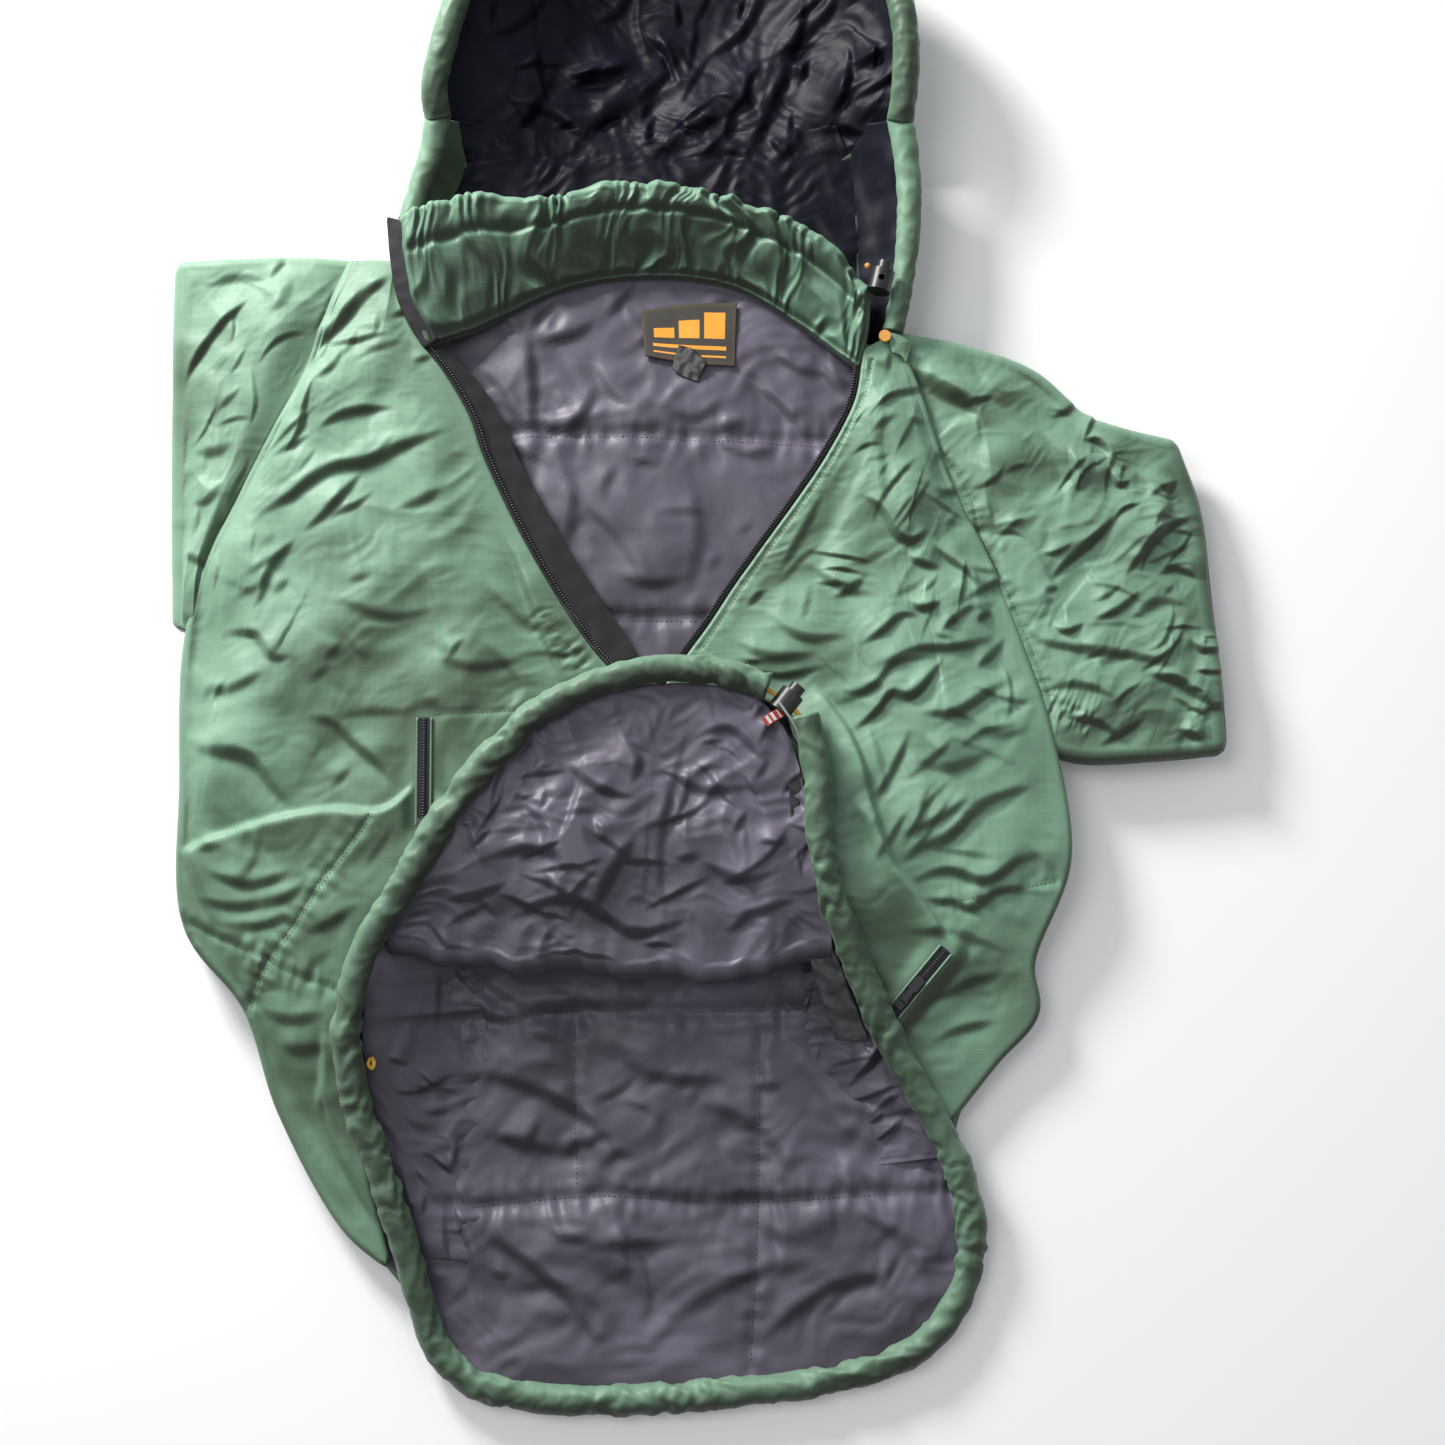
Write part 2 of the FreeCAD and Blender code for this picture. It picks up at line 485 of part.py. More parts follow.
hem_out = V(-lock_d.y, lock_d.x, 0)
hem_out.normalize()
barrel, plug, spring = cord_lock(lock_c, lock_d, hem_out)
put("hem_lock_body", barrel)
put("hem_lock_plunger", plug)
put("hem_lock_spring", spring)
base = lock_c - hem_out * (LOCK_L * 0.5 + 0.4)
put("hem_lock_tag", bar(base, base - hem_out * 11.0, 8.0, 1.2, 3.0))

# ------------------------------------------------------------------ collar
collar = coons(pts("col_bot"), pts("col_top"), list(reversed(pts("col_l"))), list(reversed(pts("col_r"))), 13, 5)
put("collar_outer", slab(collar, 0.0, 2.0))
put("collar_inner", slab(collar, 5.6, 1.0))
ct = pts("col_top")
mid = coons(pts("col_bot"), pts("col_top"), list(reversed(pts("col_l"))), list(reversed(pts("col_r"))), 9, 5)[3]
put("collar_drawcord", rod([p - V(0, 0, 4.2) for p in mid[1:]], 1.0, "collar drawcord"))

hl_c = V(121.0, 246.0, 60.0)
barrel, plug, spring = cord_lock(hl_c, V(0, 0, 1), V(0.25, 1.0, 0.0))
put("hood_lock_body", barrel)
put("hood_lock_plunger", plug)
put("hood_lock_spring", spring)

# ------------------------------------------------------------------ hood
put("hood_neck_panel", slab(coons(pts("hn_bot"), pts("hn_top"), list(reversed([V(*LINES["hn_top"][0]), (V(*LINES["hn_top"][0]) + V(*LINES["hn_bot"][0])) * 0.5, V(*LINES["hn_bot"][0])])), [V(*LINES["hn_bot"][-1]), (V(*LINES["hn_top"][-1]) + V(*LINES["hn_bot"][-1])) * 0.5, V(*LINES["hn_top"][-1])], 9, 5), 0.0, FILL + 2 * CLOTH))

bowl = coons(pts("hd_bot"), pts("hd_top"), pts("hd_l"), pts("hd_r"), 13, 11)
lz = [p.z for p in spread(pts("hd_l"), 11)]
rz = [p.z for p in spread(pts("hd_r"), 11)]
tz = [p.z for p in spread(pts("hd_top"), 13)]
FLOOR = 10.0      # hood lining over the flat middle
for j in range(11):
    v = j / 10.0
    for i in range(13):
        u = i / 12.0
        a = (lz[j] - FLOOR) / 52.0 * max(0.0, 1 - 2 * u) ** 3 + (rz[j] - FLOOR) / 52.0 * max(0.0, 2 * u - 1) ** 3
        b = (tz[i] - FLOOR) / 52.0 * v ** 6
        bowl[j][i] = V(bowl[j][i].x, bowl[j][i].y, FLOOR + 52.0 * (a + b - a * b / 0.81))
for k, s in plies(["hood_shell", "hood_insulation", "hood_lining"], bowl, outer_up=False).items():
    put(k, s)
rim = pts("rim")
put("hood_rim_channel", pipe(rim, RIM_R, RIM_WALL, "hood rim"))
put("hood_drawcord", rod(rim, CORD_R, "hood drawcord"))

# ------------------------------------------------------------------ main zip
zl, zr = pts("zl_edge"), pts("zr_edge")
put("zip_tape_left", strip(zl, -1.6, -1.6 - TAPE_W, 0.0, TAPE_T))
put("zip_tape_right", strip(zr, 1.6, 1.6 + TAPE_W, 0.0, TAPE_T))
put("zip_teeth_left", strip(zl, -TAPE_W + 1.5, -TAPE_W - 1.5, -TEETH_T - 0.2, TEETH_T))
put("zip_teeth_right", strip(zr, TAPE_W - 1.5, TAPE_W + 1.5, -TEETH_T - 0.2, TEETH_T))
fa, fb = spread(pts("flap_a"), 13), spread(pts("flap_b"), 13)
put("storm_flap", slab([fa, [(p + q) * 0.5 for p, q in zip(fa, fb)], fb], 0.0, CLOTH))
X0 = -32.3
c0, c1 = V(X0, -47.0, 43.5), V(X0, -47.0 - CHAIN_LEN, 43.5)
chain = bar(c0, c1, 14.0, TAPE_T, 0.0).fuse(bar(c0, c1, TEETH_W, TEETH_T, TAPE_T))
put("zip_closed_chain", as_solid(chain.removeSplitter()))
stop_l = Part.makeSphere(2.0, V(112.5, 258.0, 57.5))
stud = Part.makeCylinder(4.0, 2.4, V(124.4, 212.7, 44.9), V(0, 0, 1))
put("zip_stops", Part.makeBox(5.0, 3.0, 3.4, V(X0 - 2.5, -47.0 - CHAIN_LEN - 3.6, 43.5)), stop_l, stud)


def slider(a, d, teeth_top, up=V(0, 0, 1)):
    """Inverted U over the teeth, with a bail on top. Local x runs along d."""
    m = frame_of(a, a + d, up)
    w, l = TEETH_W / 2.0 + 0.4, SLIDER_L
    plate = Part.makeBox(l, 2 * w + 2.4, 1.4, V(-l / 2.0, -w - 1.2, teeth_top + 0.3))
    f1 = Part.makeBox(l, 1.2, TEETH_T + 0.2, V(-l / 2.0, w, teeth_top - TEETH_T + 0.2))
    f2 = Part.makeBox(l, 1.2, TEETH_T + 0.2, V(-l / 2.0, -w - 1.2, teeth_top - TEETH_T + 0.2))
    top = teeth_top + 1.7
    axle = Part.makeCylinder(0.8, 6.2, V(0, -3.1, top + 1.3), V(0, 1, 0))
    p1 = Part.makeBox(2.4, 0.9, 2.3, V(-1.2, 2.2, top - 0.1))
    p2 = Part.makeBox(2.4, 0.9, 2.3, V(-1.2, -3.1, top - 0.1))
    body = plate.fuse([f1, f2, axle, p1, p2]).removeSplitter()
    return place(as_solid(body), m), top + 1.3


def pull(a, d, z, length, up=V(0, 0, 1)):
    """Flat pull that hangs on the bail, lying along +d."""
    m = frame_of(a, a + d, up)
    eye = Part.makeCylinder(1.25, 3.6, V(0, -1.8, z), V(0, 1, 0))
    tab = Part.makeBox(length, 3.6, 1.2, V(0.4, -1.8, z - 0.1))
    wide = Part.makeBox(length * 0.55, 6.0, 1.2, V(0.4 + length * 0.45, -3.0, z - 0.1))
    s = eye.fuse([tab, wide]).cut(Part.makeCylinder(0.88, 8.0, V(0, -4.0, z), V(0, 1, 0)))
    return place(as_solid(s), m)


DOWN = V(0, -1, 0)
s0 = V(X0, -47.0 - SLIDER_L / 2.0 - 2.0, 43.5)
body, zb = slider(s0, DOWN, TAPE_T + TEETH_T)
put("zip_slider", body)
put("zip_pull", pull(s0, V(0, 1, 0), zb, 15.0))
print("main zip bail", s0.x + SHIFT[0], s0.y + SHIFT[1], s0.z + zb + SHIFT[2])

# ------------------------------------------------------------------ pocket zips and bags
POCKETS = {"right": (V(*(-179.1, -52.7, 45.4)), V(*(-179.0, -143.2, 46.6))),
           "left": (V(*(159.3, -197.7, 34.6)), V(*(125.5, -237.8, 30.8)))}
for side, (a, b) in POCKETS.items():
    d = b - a
    d.normalize()
    tape = bar(a, b, POCKET_W, TAPE_T, 0.0)
    teeth = bar(a + d * 2.0, b - d * 2.0, TEETH_W, TEETH_T, TAPE_T)
    put(side + "_pocket_zip", as_solid(tape.fuse(teeth).removeSplitter()))
    s1 = b - d * (SLIDER_L / 2.0 + 3.0)
    body, zb = slider(s1, V(0, 0, 0) - d, TAPE_T + TEETH_T)
    put(side + "_pocket_slider", body)
    put(side + "_pocket_pull", pull(s1, V(0, 0, 0) - d, zb, 18.0))
    up = V(0, 0, 1)
    sd = up.cross(V(0, 0, 0) - d)
    sd.normalize()
    n = (V(0, 0, 0) - d).cross(sd)
    ax = s1 + n * zb + V(*SHIFT)
    print("%s pocket: bail %s axis %s slide %s length %.1f" % (side, tuple(round(c, 3) for c in ax), tuple(round(c, 4) for c in sd), tuple(round(-c, 4) for c in d), (b - a).Length))


def sub(grid, i0, i1, j0, j1):
    return [row[i0:i1] for row in grid[j0:j1]]


put("right_pocket_bag", slab(sub(right, 2, 7, 9, 13), FILL + 2 * CLOTH + 2 * PLY_GAP + 0.9, 1.4))
put("left_pocket_bag", slab(sub(left, 2, 8, 10, 15), FILL + 2 * CLOTH + 2 * PLY_GAP + 0.9, 1.4))

# ------------------------------------------------------------------ label
put("neck_label", Part.makeBox(66.0, 44.0, 0.8, V(-42.0, 198.0, 24.9)), Part.makeBox(20.0, 26.0, 1.2, V(-17.0, 187.0, 26.0)))

# ------------------------------------------------------------------ write
os.makedirs("parts", exist_ok=True)
for old in os.listdir("parts"):
    if old.endswith(".step"):
        os.remove(os.path.join("parts", old))
box = FreeCAD.BoundBox()
for name, shape in OUT.items():
    box.add(shape.BoundBox)
    bad = [s for s in shape.Solids if not s.isValid() or s.Volume <= 0]
    if bad or not shape.Solids:
        print("NOT VALID", name, [s.Volume for s in shape.Solids])
    shape.exportStep(os.path.join("parts", name + ".step"))
print("nodes", len(OUT), "box", box)
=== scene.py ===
import json
import math
import bpy
import numpy as np
from mathutils import Vector, Matrix

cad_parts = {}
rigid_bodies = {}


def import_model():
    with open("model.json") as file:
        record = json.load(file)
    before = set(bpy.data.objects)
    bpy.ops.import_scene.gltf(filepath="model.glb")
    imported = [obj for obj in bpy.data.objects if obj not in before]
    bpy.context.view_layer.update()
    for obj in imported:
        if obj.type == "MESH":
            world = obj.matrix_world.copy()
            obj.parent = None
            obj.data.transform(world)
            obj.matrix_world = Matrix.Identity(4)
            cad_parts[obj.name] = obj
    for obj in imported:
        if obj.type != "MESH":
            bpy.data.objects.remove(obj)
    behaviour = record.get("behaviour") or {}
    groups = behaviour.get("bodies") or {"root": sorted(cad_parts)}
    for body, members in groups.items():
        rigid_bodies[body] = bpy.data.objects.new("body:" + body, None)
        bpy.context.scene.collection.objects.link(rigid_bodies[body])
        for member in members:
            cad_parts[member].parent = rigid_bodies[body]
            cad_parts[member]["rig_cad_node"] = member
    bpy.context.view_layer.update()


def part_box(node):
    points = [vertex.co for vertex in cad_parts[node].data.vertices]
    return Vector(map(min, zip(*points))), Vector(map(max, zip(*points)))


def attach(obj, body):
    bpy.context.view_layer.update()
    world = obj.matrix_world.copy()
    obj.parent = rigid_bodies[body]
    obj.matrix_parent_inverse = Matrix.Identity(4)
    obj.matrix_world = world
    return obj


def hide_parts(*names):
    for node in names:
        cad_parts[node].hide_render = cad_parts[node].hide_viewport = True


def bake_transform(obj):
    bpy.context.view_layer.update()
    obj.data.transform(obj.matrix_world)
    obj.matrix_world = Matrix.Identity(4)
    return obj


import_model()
G0, H0 = "garment", "hood"

# ---------------------------------------------------------------- viewing plane
# Guide lines are written as (a, b, z): a to the right and b down on the viewing
# plane, z the height in millimetres above the surface that the garment lies on.
FOC, DIST, ELEV = 2121.2, 1400.0, math.radians(80.0)
AIM = np.array([15.0, -49.0, 30.0])
SHIFT = np.array([7.0, -29.0, -0.3])
DV = np.array([0.0, math.cos(ELEV), -math.sin(ELEV)])
UV = np.array([0.0, math.sin(ELEV), math.cos(ELEV)])
EYE = AIM - DIST * DV


def W(pts):
    """Guide points to the row frame, millimetres."""
    p = np.atleast_2d(np.array(pts, dtype=float))
    ray = DV[None] + (p[:, 0:1] - 722.5) / FOC * np.array([[1.0, 0, 0]]) - (p[:, 1:2] - 722.5) / FOC * UV[None]
    t = (p[:, 2:3] - EYE[2]) / ray[:, 2:3]
    return EYE[None] + t * ray + SHIFT[None]


scene = bpy.context.scene
cam_data = bpy.data.cameras.new("camera")
cam_data.sensor_width = 36.0
cam_data.lens = FOC / 1445.0 * 36.0
cam_data.clip_start = 0.05
cam = bpy.data.objects.new("camera", cam_data)
cam.location = Vector((EYE + SHIFT) / 1000.0)
cam.rotation_euler = (math.pi / 2 - ELEV, 0, 0)
scene.collection.objects.link(cam)
scene.camera = cam


# ---------------------------------------------------------------- numeric helpers
def noise_table(seed):
    r = np.random.RandomState(seed)
    ang = r.rand(256) * 2 * np.pi
    return r.permutation(256), np.cos(ang), np.sin(ang)


TAB = {}


def perlin(x, y, seed=0):
    if seed not in TAB:
        TAB[seed] = noise_table(seed)
    perm, gx, gy = TAB[seed]
    xi, yi = np.floor(x).astype(int), np.floor(y).astype(int)
    xf, yf = x - xi, y - yi
    u, v = xf * xf * xf * (xf * (xf * 6 - 15) + 10), yf * yf * yf * (yf * (yf * 6 - 15) + 10)

    def g(ix, iy, dx, dy):
        h = perm[(perm[ix & 255] + iy) & 255]
        return gx[h] * dx + gy[h] * dy
    a = g(xi, yi, xf, yf)
    b = g(xi + 1, yi, xf - 1, yf)
    c = g(xi, yi + 1, xf, yf - 1)
    d = g(xi + 1, yi + 1, xf - 1, yf - 1)
    return ((a + (b - a) * u) + ((c + (d - c) * u) - (a + (b - a) * u)) * v) * 1.5


def ridged(x, y, seed=0):
    """Sharp crests, soft troughs, 0..1."""
    n = perlin(x, y, seed)
    return 1.0 - np.sqrt(n * n + 0.006) / 0.85


def smooth01(x):
    x = np.clip(x, 0, 1)
    return x * x * (3 - 2 * x)


def dense(p, per=12):
    """Catmull-Rom curve through the points."""
    p = np.asarray(p, dtype=float)
    if len(p) < 3:
        t = np.linspace(0, 1, per * 2)[:, None]
        return p[0] * (1 - t) + p[-1] * t
    q = np.vstack([2 * p[0] - p[1], p, 2 * p[-1] - p[-2]])
    out = []
    for i in range(1, len(q) - 2):
        p0, p1, p2, p3 = q[i - 1], q[i], q[i + 1], q[i + 2]
        d01, d12, d23 = (max(1e-6, np.linalg.norm(b - a)) ** 0.5 for a, b in ((p0, p1), (p1, p2), (p2, p3)))
        m1 = (p2 - p1 + d12 * ((p1 - p0) / d01 - (p2 - p0) / (d01 + d12)))
        m2 = (p2 - p1 + d12 * ((p3 - p2) / d23 - (p3 - p1) / (d12 + d23)))
        t = np.linspace(0, 1, per, endpoint=False)[:, None]
        out.append((2 * t**3 - 3 * t**2 + 1) * p1 + (t**3 - 2 * t**2 + t) * m1 + (-2 * t**3 + 3 * t**2) * p2 + (t**3 - t**2) * m2)
    out.append(p[-1][None])
    return np.vstack(out)


def spread(p, n, curve=True):
    d = dense(p) if curve else np.asarray(p, dtype=float)
    s = np.r_[0, np.cumsum(np.linalg.norm(np.diff(d, axis=0), axis=1))]
    t = np.linspace(0, s[-1], n)
    return np.stack([np.interp(t, s, d[:, k]) for k in range(d.shape[1])], axis=1)


def line(pts, n=None):
    w = W(pts)
    return w if n is None else spread(w, n)


def coons(bottom, top, left, right, nu, nv):
    b, t = spread(bottom, nu)[None], spread(top, nu)[None]
    l, r = spread(left, nv)[:, None], spread(right, nv)[:, None]
    u, v = np.linspace(0, 1, nu)[None, :, None], np.linspace(0, 1, nv)[:, None, None]
    return b * (1 - v) + t * v + l * (1 - u) + r * u - (
        b[:, :1] * (1 - u) * (1 - v) + b[:, -1:] * u * (1 - v) + t[:, :1] * (1 - u) * v + t[:, -1:] * u * v)


def seg_dist(X, Y, P):
    """Distance, side and run (0..1) of each point against polyline P (n, 2)."""
    best = np.full(X.shape, 1e9)
    side = np.zeros(X.shape)
    run = np.zeros(X.shape)
    seg = np.linalg.norm(np.diff(P, axis=0), axis=1)
    tot = seg.sum()
    acc = 0.0
    for i in range(len(P) - 1):
        a, b = P[i], P[i + 1]
        d = b - a
        l2 = max(1e-9, d @ d)
        t = np.clip(((X - a[0]) * d[0] + (Y - a[1]) * d[1]) / l2, 0, 1)
        qx, qy = a[0] + t * d[0] - X, a[1] + t * d[1] - Y
        dist = np.sqrt(qx * qx + qy * qy)
        cr = d[0] * (Y - a[1]) - d[1] * (X - a[0])
        m = dist < best
        best = np.where(m, dist, best)
        side = np.where(m, np.sign(cr), side)
        run = np.where(m, (acc + t * seg[i]) / tot, run)
        acc += seg[i]
    return best, side, run


def unrolled(G, gu, gv):
    """Flat grid with the row and column lengths of G, grown by gu and gv."""
    su = np.zeros(G.shape[:2])
    su[:, 1:] = np.cumsum(np.linalg.norm(np.diff(G, axis=1), axis=2), axis=1)
    sv = np.zeros(G.shape[:2])
    sv[1:] = np.cumsum(np.linalg.norm(np.diff(G, axis=0), axis=2), axis=0)
    su -= su.mean(axis=1, keepdims=True)
    sv = np.repeat(sv.mean(axis=1)[:, None], G.shape[1], axis=1)
    return np.stack([su * gu, sv * gv, 0 * su], axis=-1)


def resample(A, nv, nu):
    """Bilinear resampling of a grid."""
    v = np.linspace(0, A.shape[0] - 1, nv)
    u = np.linspace(0, A.shape[1] - 1, nu)
    j = np.minimum(v.astype(int), A.shape[0] - 2)
    i = np.minimum(u.astype(int), A.shape[1] - 2)
    fv, fu = (v - j)[:, None, None], (u - i)[None, :, None]
    a, b = A[j][:, i], A[j][:, i + 1]
    c, d = A[j + 1][:, i], A[j + 1][:, i + 1]
    return (a * (1 - fu) + b * fu) * (1 - fv) + (c * (1 - fu) + d * fu) * fv


def buckle(G, step_mm, grow, cap=6.0, down=4.0, frames=18, bend=0.3, goal=0.02, pins="btlr", rest=None, m=2, sideways=4.0, blur=1, tension=15.0):
    """Coarse cloth simulation of the grid, added back to it at full density."""
    nv, nu = G.shape[:2]
    lu = np.linalg.norm(np.diff(G, axis=1), axis=2).sum(axis=1).mean()
    lv = np.linalg.norm(np.diff(G, axis=0), axis=2).sum(axis=0).mean()
    cu, cv = max(12, int(lu / step_mm)), max(12, int(lv / step_mm))
    C = resample(G, cv, cu)
    pin = 1 - edge_mask(cu, cv, m, pins)
    R = unrolled(C, *rest) if rest else None
    S = settle(C.copy(), pin, grow=grow, goal=goal, frames=frames, bend=bend, cap=cap, down=down, rest_grid=R, sideways=sideways, tension=tension)
    D = S - C
    for _ in range(blur):
        D[1:-1, 1:-1] = 0.5 * D[1:-1, 1:-1] + 0.125 * (D[:-2, 1:-1] + D[2:, 1:-1] + D[1:-1, :-2] + D[1:-1, 2:])
    print("buckle", C.shape[:2], "rms", float(np.sqrt((D ** 2).mean(axis=(0, 1))).round(2).max()), "z", D[..., 2].min().round(1), D[..., 2].max().round(1))
    return G + resample(D, nv, nu)


def fold(G, pts, amp, w, skew=0.0, zref=40.0, ends=0.5):
    """Ridge (amp > 0) or furrow along a guide line. With skew > 0 the ridge is
    steeper on the line's left side seen from above, and softer on its right."""
    P = spread(W([(a, b, zref) for a, b in pts]), max(6, 4 * len(pts)))[:, :2]
    X, Y = G[..., 0], G[..., 1]
    d, s, t = seg_dist(X, Y, P)
    f = np.where(s > 0, w * (1 - skew), w * (1 + skew))
    taper = smooth01(np.minimum(t, 1 - t) / max(1e-3, 0.5 * ends))
    taper = np.where((t <= 0) | (t >= 1), 0.0, taper) if ends > 0 else 1.0
    G[..., 2] += amp * taper * np.exp(-(d / f) ** 2)
    return G


def step(G, pts, amp, w, soft, zref=40.0, ends=0.25):
    """Overlap: rises `amp` sharply on the line's left side and dies away over `soft`."""
    P = spread(W([(a, b, zref) for a, b in pts]), max(6, 4 * len(pts)))[:, :2]
    d, s, t = seg_dist(G[..., 0], G[..., 1], P)
    x = d * s
    taper = smooth01(np.minimum(t, 1 - t) / max(1e-3, ends)) if ends > 0 else 1.0
    G[..., 2] += amp * taper * smooth01((x + w) / (2 * w)) * np.exp(-np.maximum(x, 0) / soft)
    return G


def crumple(G, seed, size, amp, ang=0.0, stretch=2.2, mask=None, warp=0.6):
    """Irregular creases; `ang` is the direction that they run in."""
    X, Y = G[..., 0], G[..., 1]
    c, s = math.cos(ang), math.sin(ang)
    wx = perlin(X / (size * 2.6), Y / (size * 2.6), seed + 11) * size * warp * 2
    wy = perlin(X / (size * 2.6) + 9.1, Y / (size * 2.6), seed + 12) * size * warp * 2
    u = ((X + wx) * c + (Y + wy) * s) / (size * stretch)
    v = (-(X + wx) * s + (Y + wy) * c) / size
    h = ridged(u, v, seed) - 0.55
    h *= 0.5 + 0.8 * smooth01(perlin(X / (size * 4), Y / (size * 4), seed + 13) + 0.5)
    G[..., 2] += amp * h * (1.0 if mask is None else mask)
    return G


def edge_mask(nu, nv, m=6, sides="btlr"):
    """0 at the edges of a grid, 1 inside."""
    j, i = np.mgrid[0:nv, 0:nu]
    k = np.full((nv, nu), 1e9)
    if "b" in sides: k = np.minimum(k, j)
    if "t" in sides: k = np.minimum(k, nv - 1 - j)
    if "l" in sides: k = np.minimum(k, i)
    if "r" in sides: k = np.minimum(k, nu - 1 - i)
    return smooth01(k / float(m))


# ---------------------------------------------------------------- mesh builders
def new_mesh(name, verts, faces, mats, idx=None, body=G0, smooth=True):
    me = bpy.data.meshes.new(name)
    me.from_pydata((np.asarray(verts) / 1000.0).tolist(), [], faces)
    for m in mats:
        me.materials.append(m)
    if idx is not None:
        me.polygons.foreach_set("material_index", np.asarray(idx, dtype=np.int32))
    me.polygons.foreach_set("use_smooth", [smooth] * len(me.polygons))
    me.validate()
    me.update()
    ob = bpy.data.objects.new(name, me)
    scene.collection.objects.link(ob)
    if body:
        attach(ob, body)
    return ob


def ring_index(nu, nv):
    r = [i for i in range(nu)]
    r += [j * nu + nu - 1 for j in range(1, nv)]
    r += [(nv - 1) * nu + i for i in range(nu - 2, -1, -1)]
    r += [j * nu for j in range(nv - 2, 0, -1)]
    return np.array(r)


def ring_sides(nu, nv):
    """Letter of the side that each ring vertex lies on."""
    return ["b"] * nu + ["r"] * (nv - 1) + ["t"] * (nu - 1) + ["l"] * (nv - 2)


def quilt(name, G, thick, mats, body=G0, r=None, base=None, out=0.0, roll=0, lower_edge=1):
    """Closed padded panel: top grid, rolled edge, plain underside.
    r is the edge radius per side; mats = (top, underside); roll is the rolled
    edge's choice of the two."""
    nv, nu = G.shape[:2]
    base = G if base is None else base
    top = G.reshape(-1, 3)
    ring = ring_index(nu, nv)
    R = top[ring]
    area = 0.5 * np.sum(R[:, 0] * np.roll(R[:, 1], -1) - np.roll(R[:, 0], -1) * R[:, 1])
    tan = np.roll(R, -1, axis=0) - np.roll(R, 1, axis=0)
    for _ in range(4):
        tan = tan + 0.5 * (np.roll(tan, 1, axis=0) + np.roll(tan, -1, axis=0))
    nrm = np.stack([tan[:, 1], -tan[:, 0], np.zeros(len(R))], axis=1) * (1 if area > 0 else -1)
    nrm /= np.maximum(1e-6, np.linalg.norm(nrm, axis=1))[:, None]
    sides = ring_sides(nu, nv)
    rad = np.array([(r or {}).get(s, thick / 2.0) for s in sides])
    for _ in range(6):
        rad = 0.5 * rad + 0.25 * (np.roll(rad, 1) + np.roll(rad, -1))
    low = base.reshape(-1, 3).copy()
    low[:, 2] = np.maximum(low[:, 2] - thick, 0.2)
    lowring = low[ring]
    verts = [top]
    loops = [ring]
    n = len(top)
    steps = [(math.radians(a), 0) for a in (22, 45, 67, 90)] + [(math.radians(a), 1) for a in (90, 120, 150)]
    for ang, lower in steps:
        if not lower:
            V = R + nrm * (rad * math.sin(ang) + out * math.sin(ang))[:, None]
            V[:, 2] = R[:, 2] - rad * (1 - math.cos(ang))
        else:
            V = R + nrm * (rad * math.sin(ang) + out * math.sin(ang))[:, None]
            V[:, 2] = lowring[:, 2] + rad * (1 + math.cos(ang))
        verts.append(V)
        loops.append(np.arange(n, n + len(R)))
        n += len(R)
    verts.append(low)
    loops.append(ring + n)
    off = n
    faces, idx = [], []
    j, i = np.mgrid[0:nv - 1, 0:nu - 1]
    a = (j * nu + i).ravel()
    q = np.stack([a, a + 1, a + nu + 1, a + nu], axis=1)
    if area < 0:
        q = q[:, ::-1]
    faces += q.tolist()
    idx += [0] * len(q)
    m = len(R)
    k = np.arange(m)
    for li in range(len(loops) - 1):
        A, B = loops[li], loops[li + 1]
        f = np.stack([A[k], B[k], B[(k + 1) % m], A[(k + 1) % m]], axis=1)
        if area < 0:
            f = f[:, ::-1]
        faces += f.tolist()
        idx += [roll if li < 4 else lower_edge] * m
    q2 = q[:, ::-1] + off
    faces += q2.tolist()
    idx += [1] * len(q2)
    return new_mesh(name, np.vstack(verts), faces, mats, idx, body)


def tube_frames(P):
    """Tangent, side and up at each point of a path."""
    T = np.gradient(P, axis=0)
    T /= np.linalg.norm(T, axis=1)[:, None]
    N = np.zeros_like(T)
    ref = np.array([0, 0, 1.0])
    for i in range(len(P)):
        s = np.cross(ref, T[i])
        N[i] = s / max(1e-6, np.linalg.norm(s))
    U = np.cross(T, N)
    return T, N, U


def tube(name, P, radius, mats, body=G0, ns=32, closed_ends=True, flat=1.0, closed=False):
    """Tube along P; radius(s, phi) gives millimetres; `flat` squeezes its height."""
    T, N, U = tube_frames(P)
    s = np.r_[0, np.cumsum(np.linalg.norm(np.diff(P, axis=0), axis=1))]
    phi = np.linspace(0, 2 * np.pi, ns, endpoint=False)
    SS, PH = np.meshgrid(s, phi, indexing="ij")
    Rr = radius(SS, PH) if callable(radius) else np.full_like(SS, radius)
    V = P[:, None] + N[:, None] * (Rr * np.cos(PH))[..., None] + U[:, None] * (Rr * np.sin(PH) * flat)[..., None]
    n = len(P)
    V[..., 2] = np.maximum(V[..., 2], 0.1)
    verts = V.reshape(-1, 3)
    faces = []
    for i in range(n if closed else n - 1):
        a, b = i * ns, ((i + 1) % n) * ns
        for k in range(ns):
            faces.append((a + k, a + (k + 1) % ns, b + (k + 1) % ns, b + k))
    if not closed and closed_ends:
        verts = np.vstack([verts, P[0][None], P[-1][None]])
        c0, c1 = n * ns, n * ns + 1
        for k in range(ns):
            faces.append((c0, (k + 1) % ns, k))
            faces.append((c1, (n - 1) * ns + k, (n - 1) * ns + (k + 1) % ns))
    return new_mesh(name, verts, faces, mats, None, body)


def join(name, obs, body=G0):
    """One object out of several."""
    obs = [o for o in obs if o]
    for o in bpy.context.selected_objects:
        o.select_set(False)
    for o in obs:
        o.select_set(True)
    bpy.context.view_layer.objects.active = obs[0]
    bpy.ops.object.join()
    o = bpy.context.view_layer.objects.active
    o.name = name
    o.data.name = name
    return o


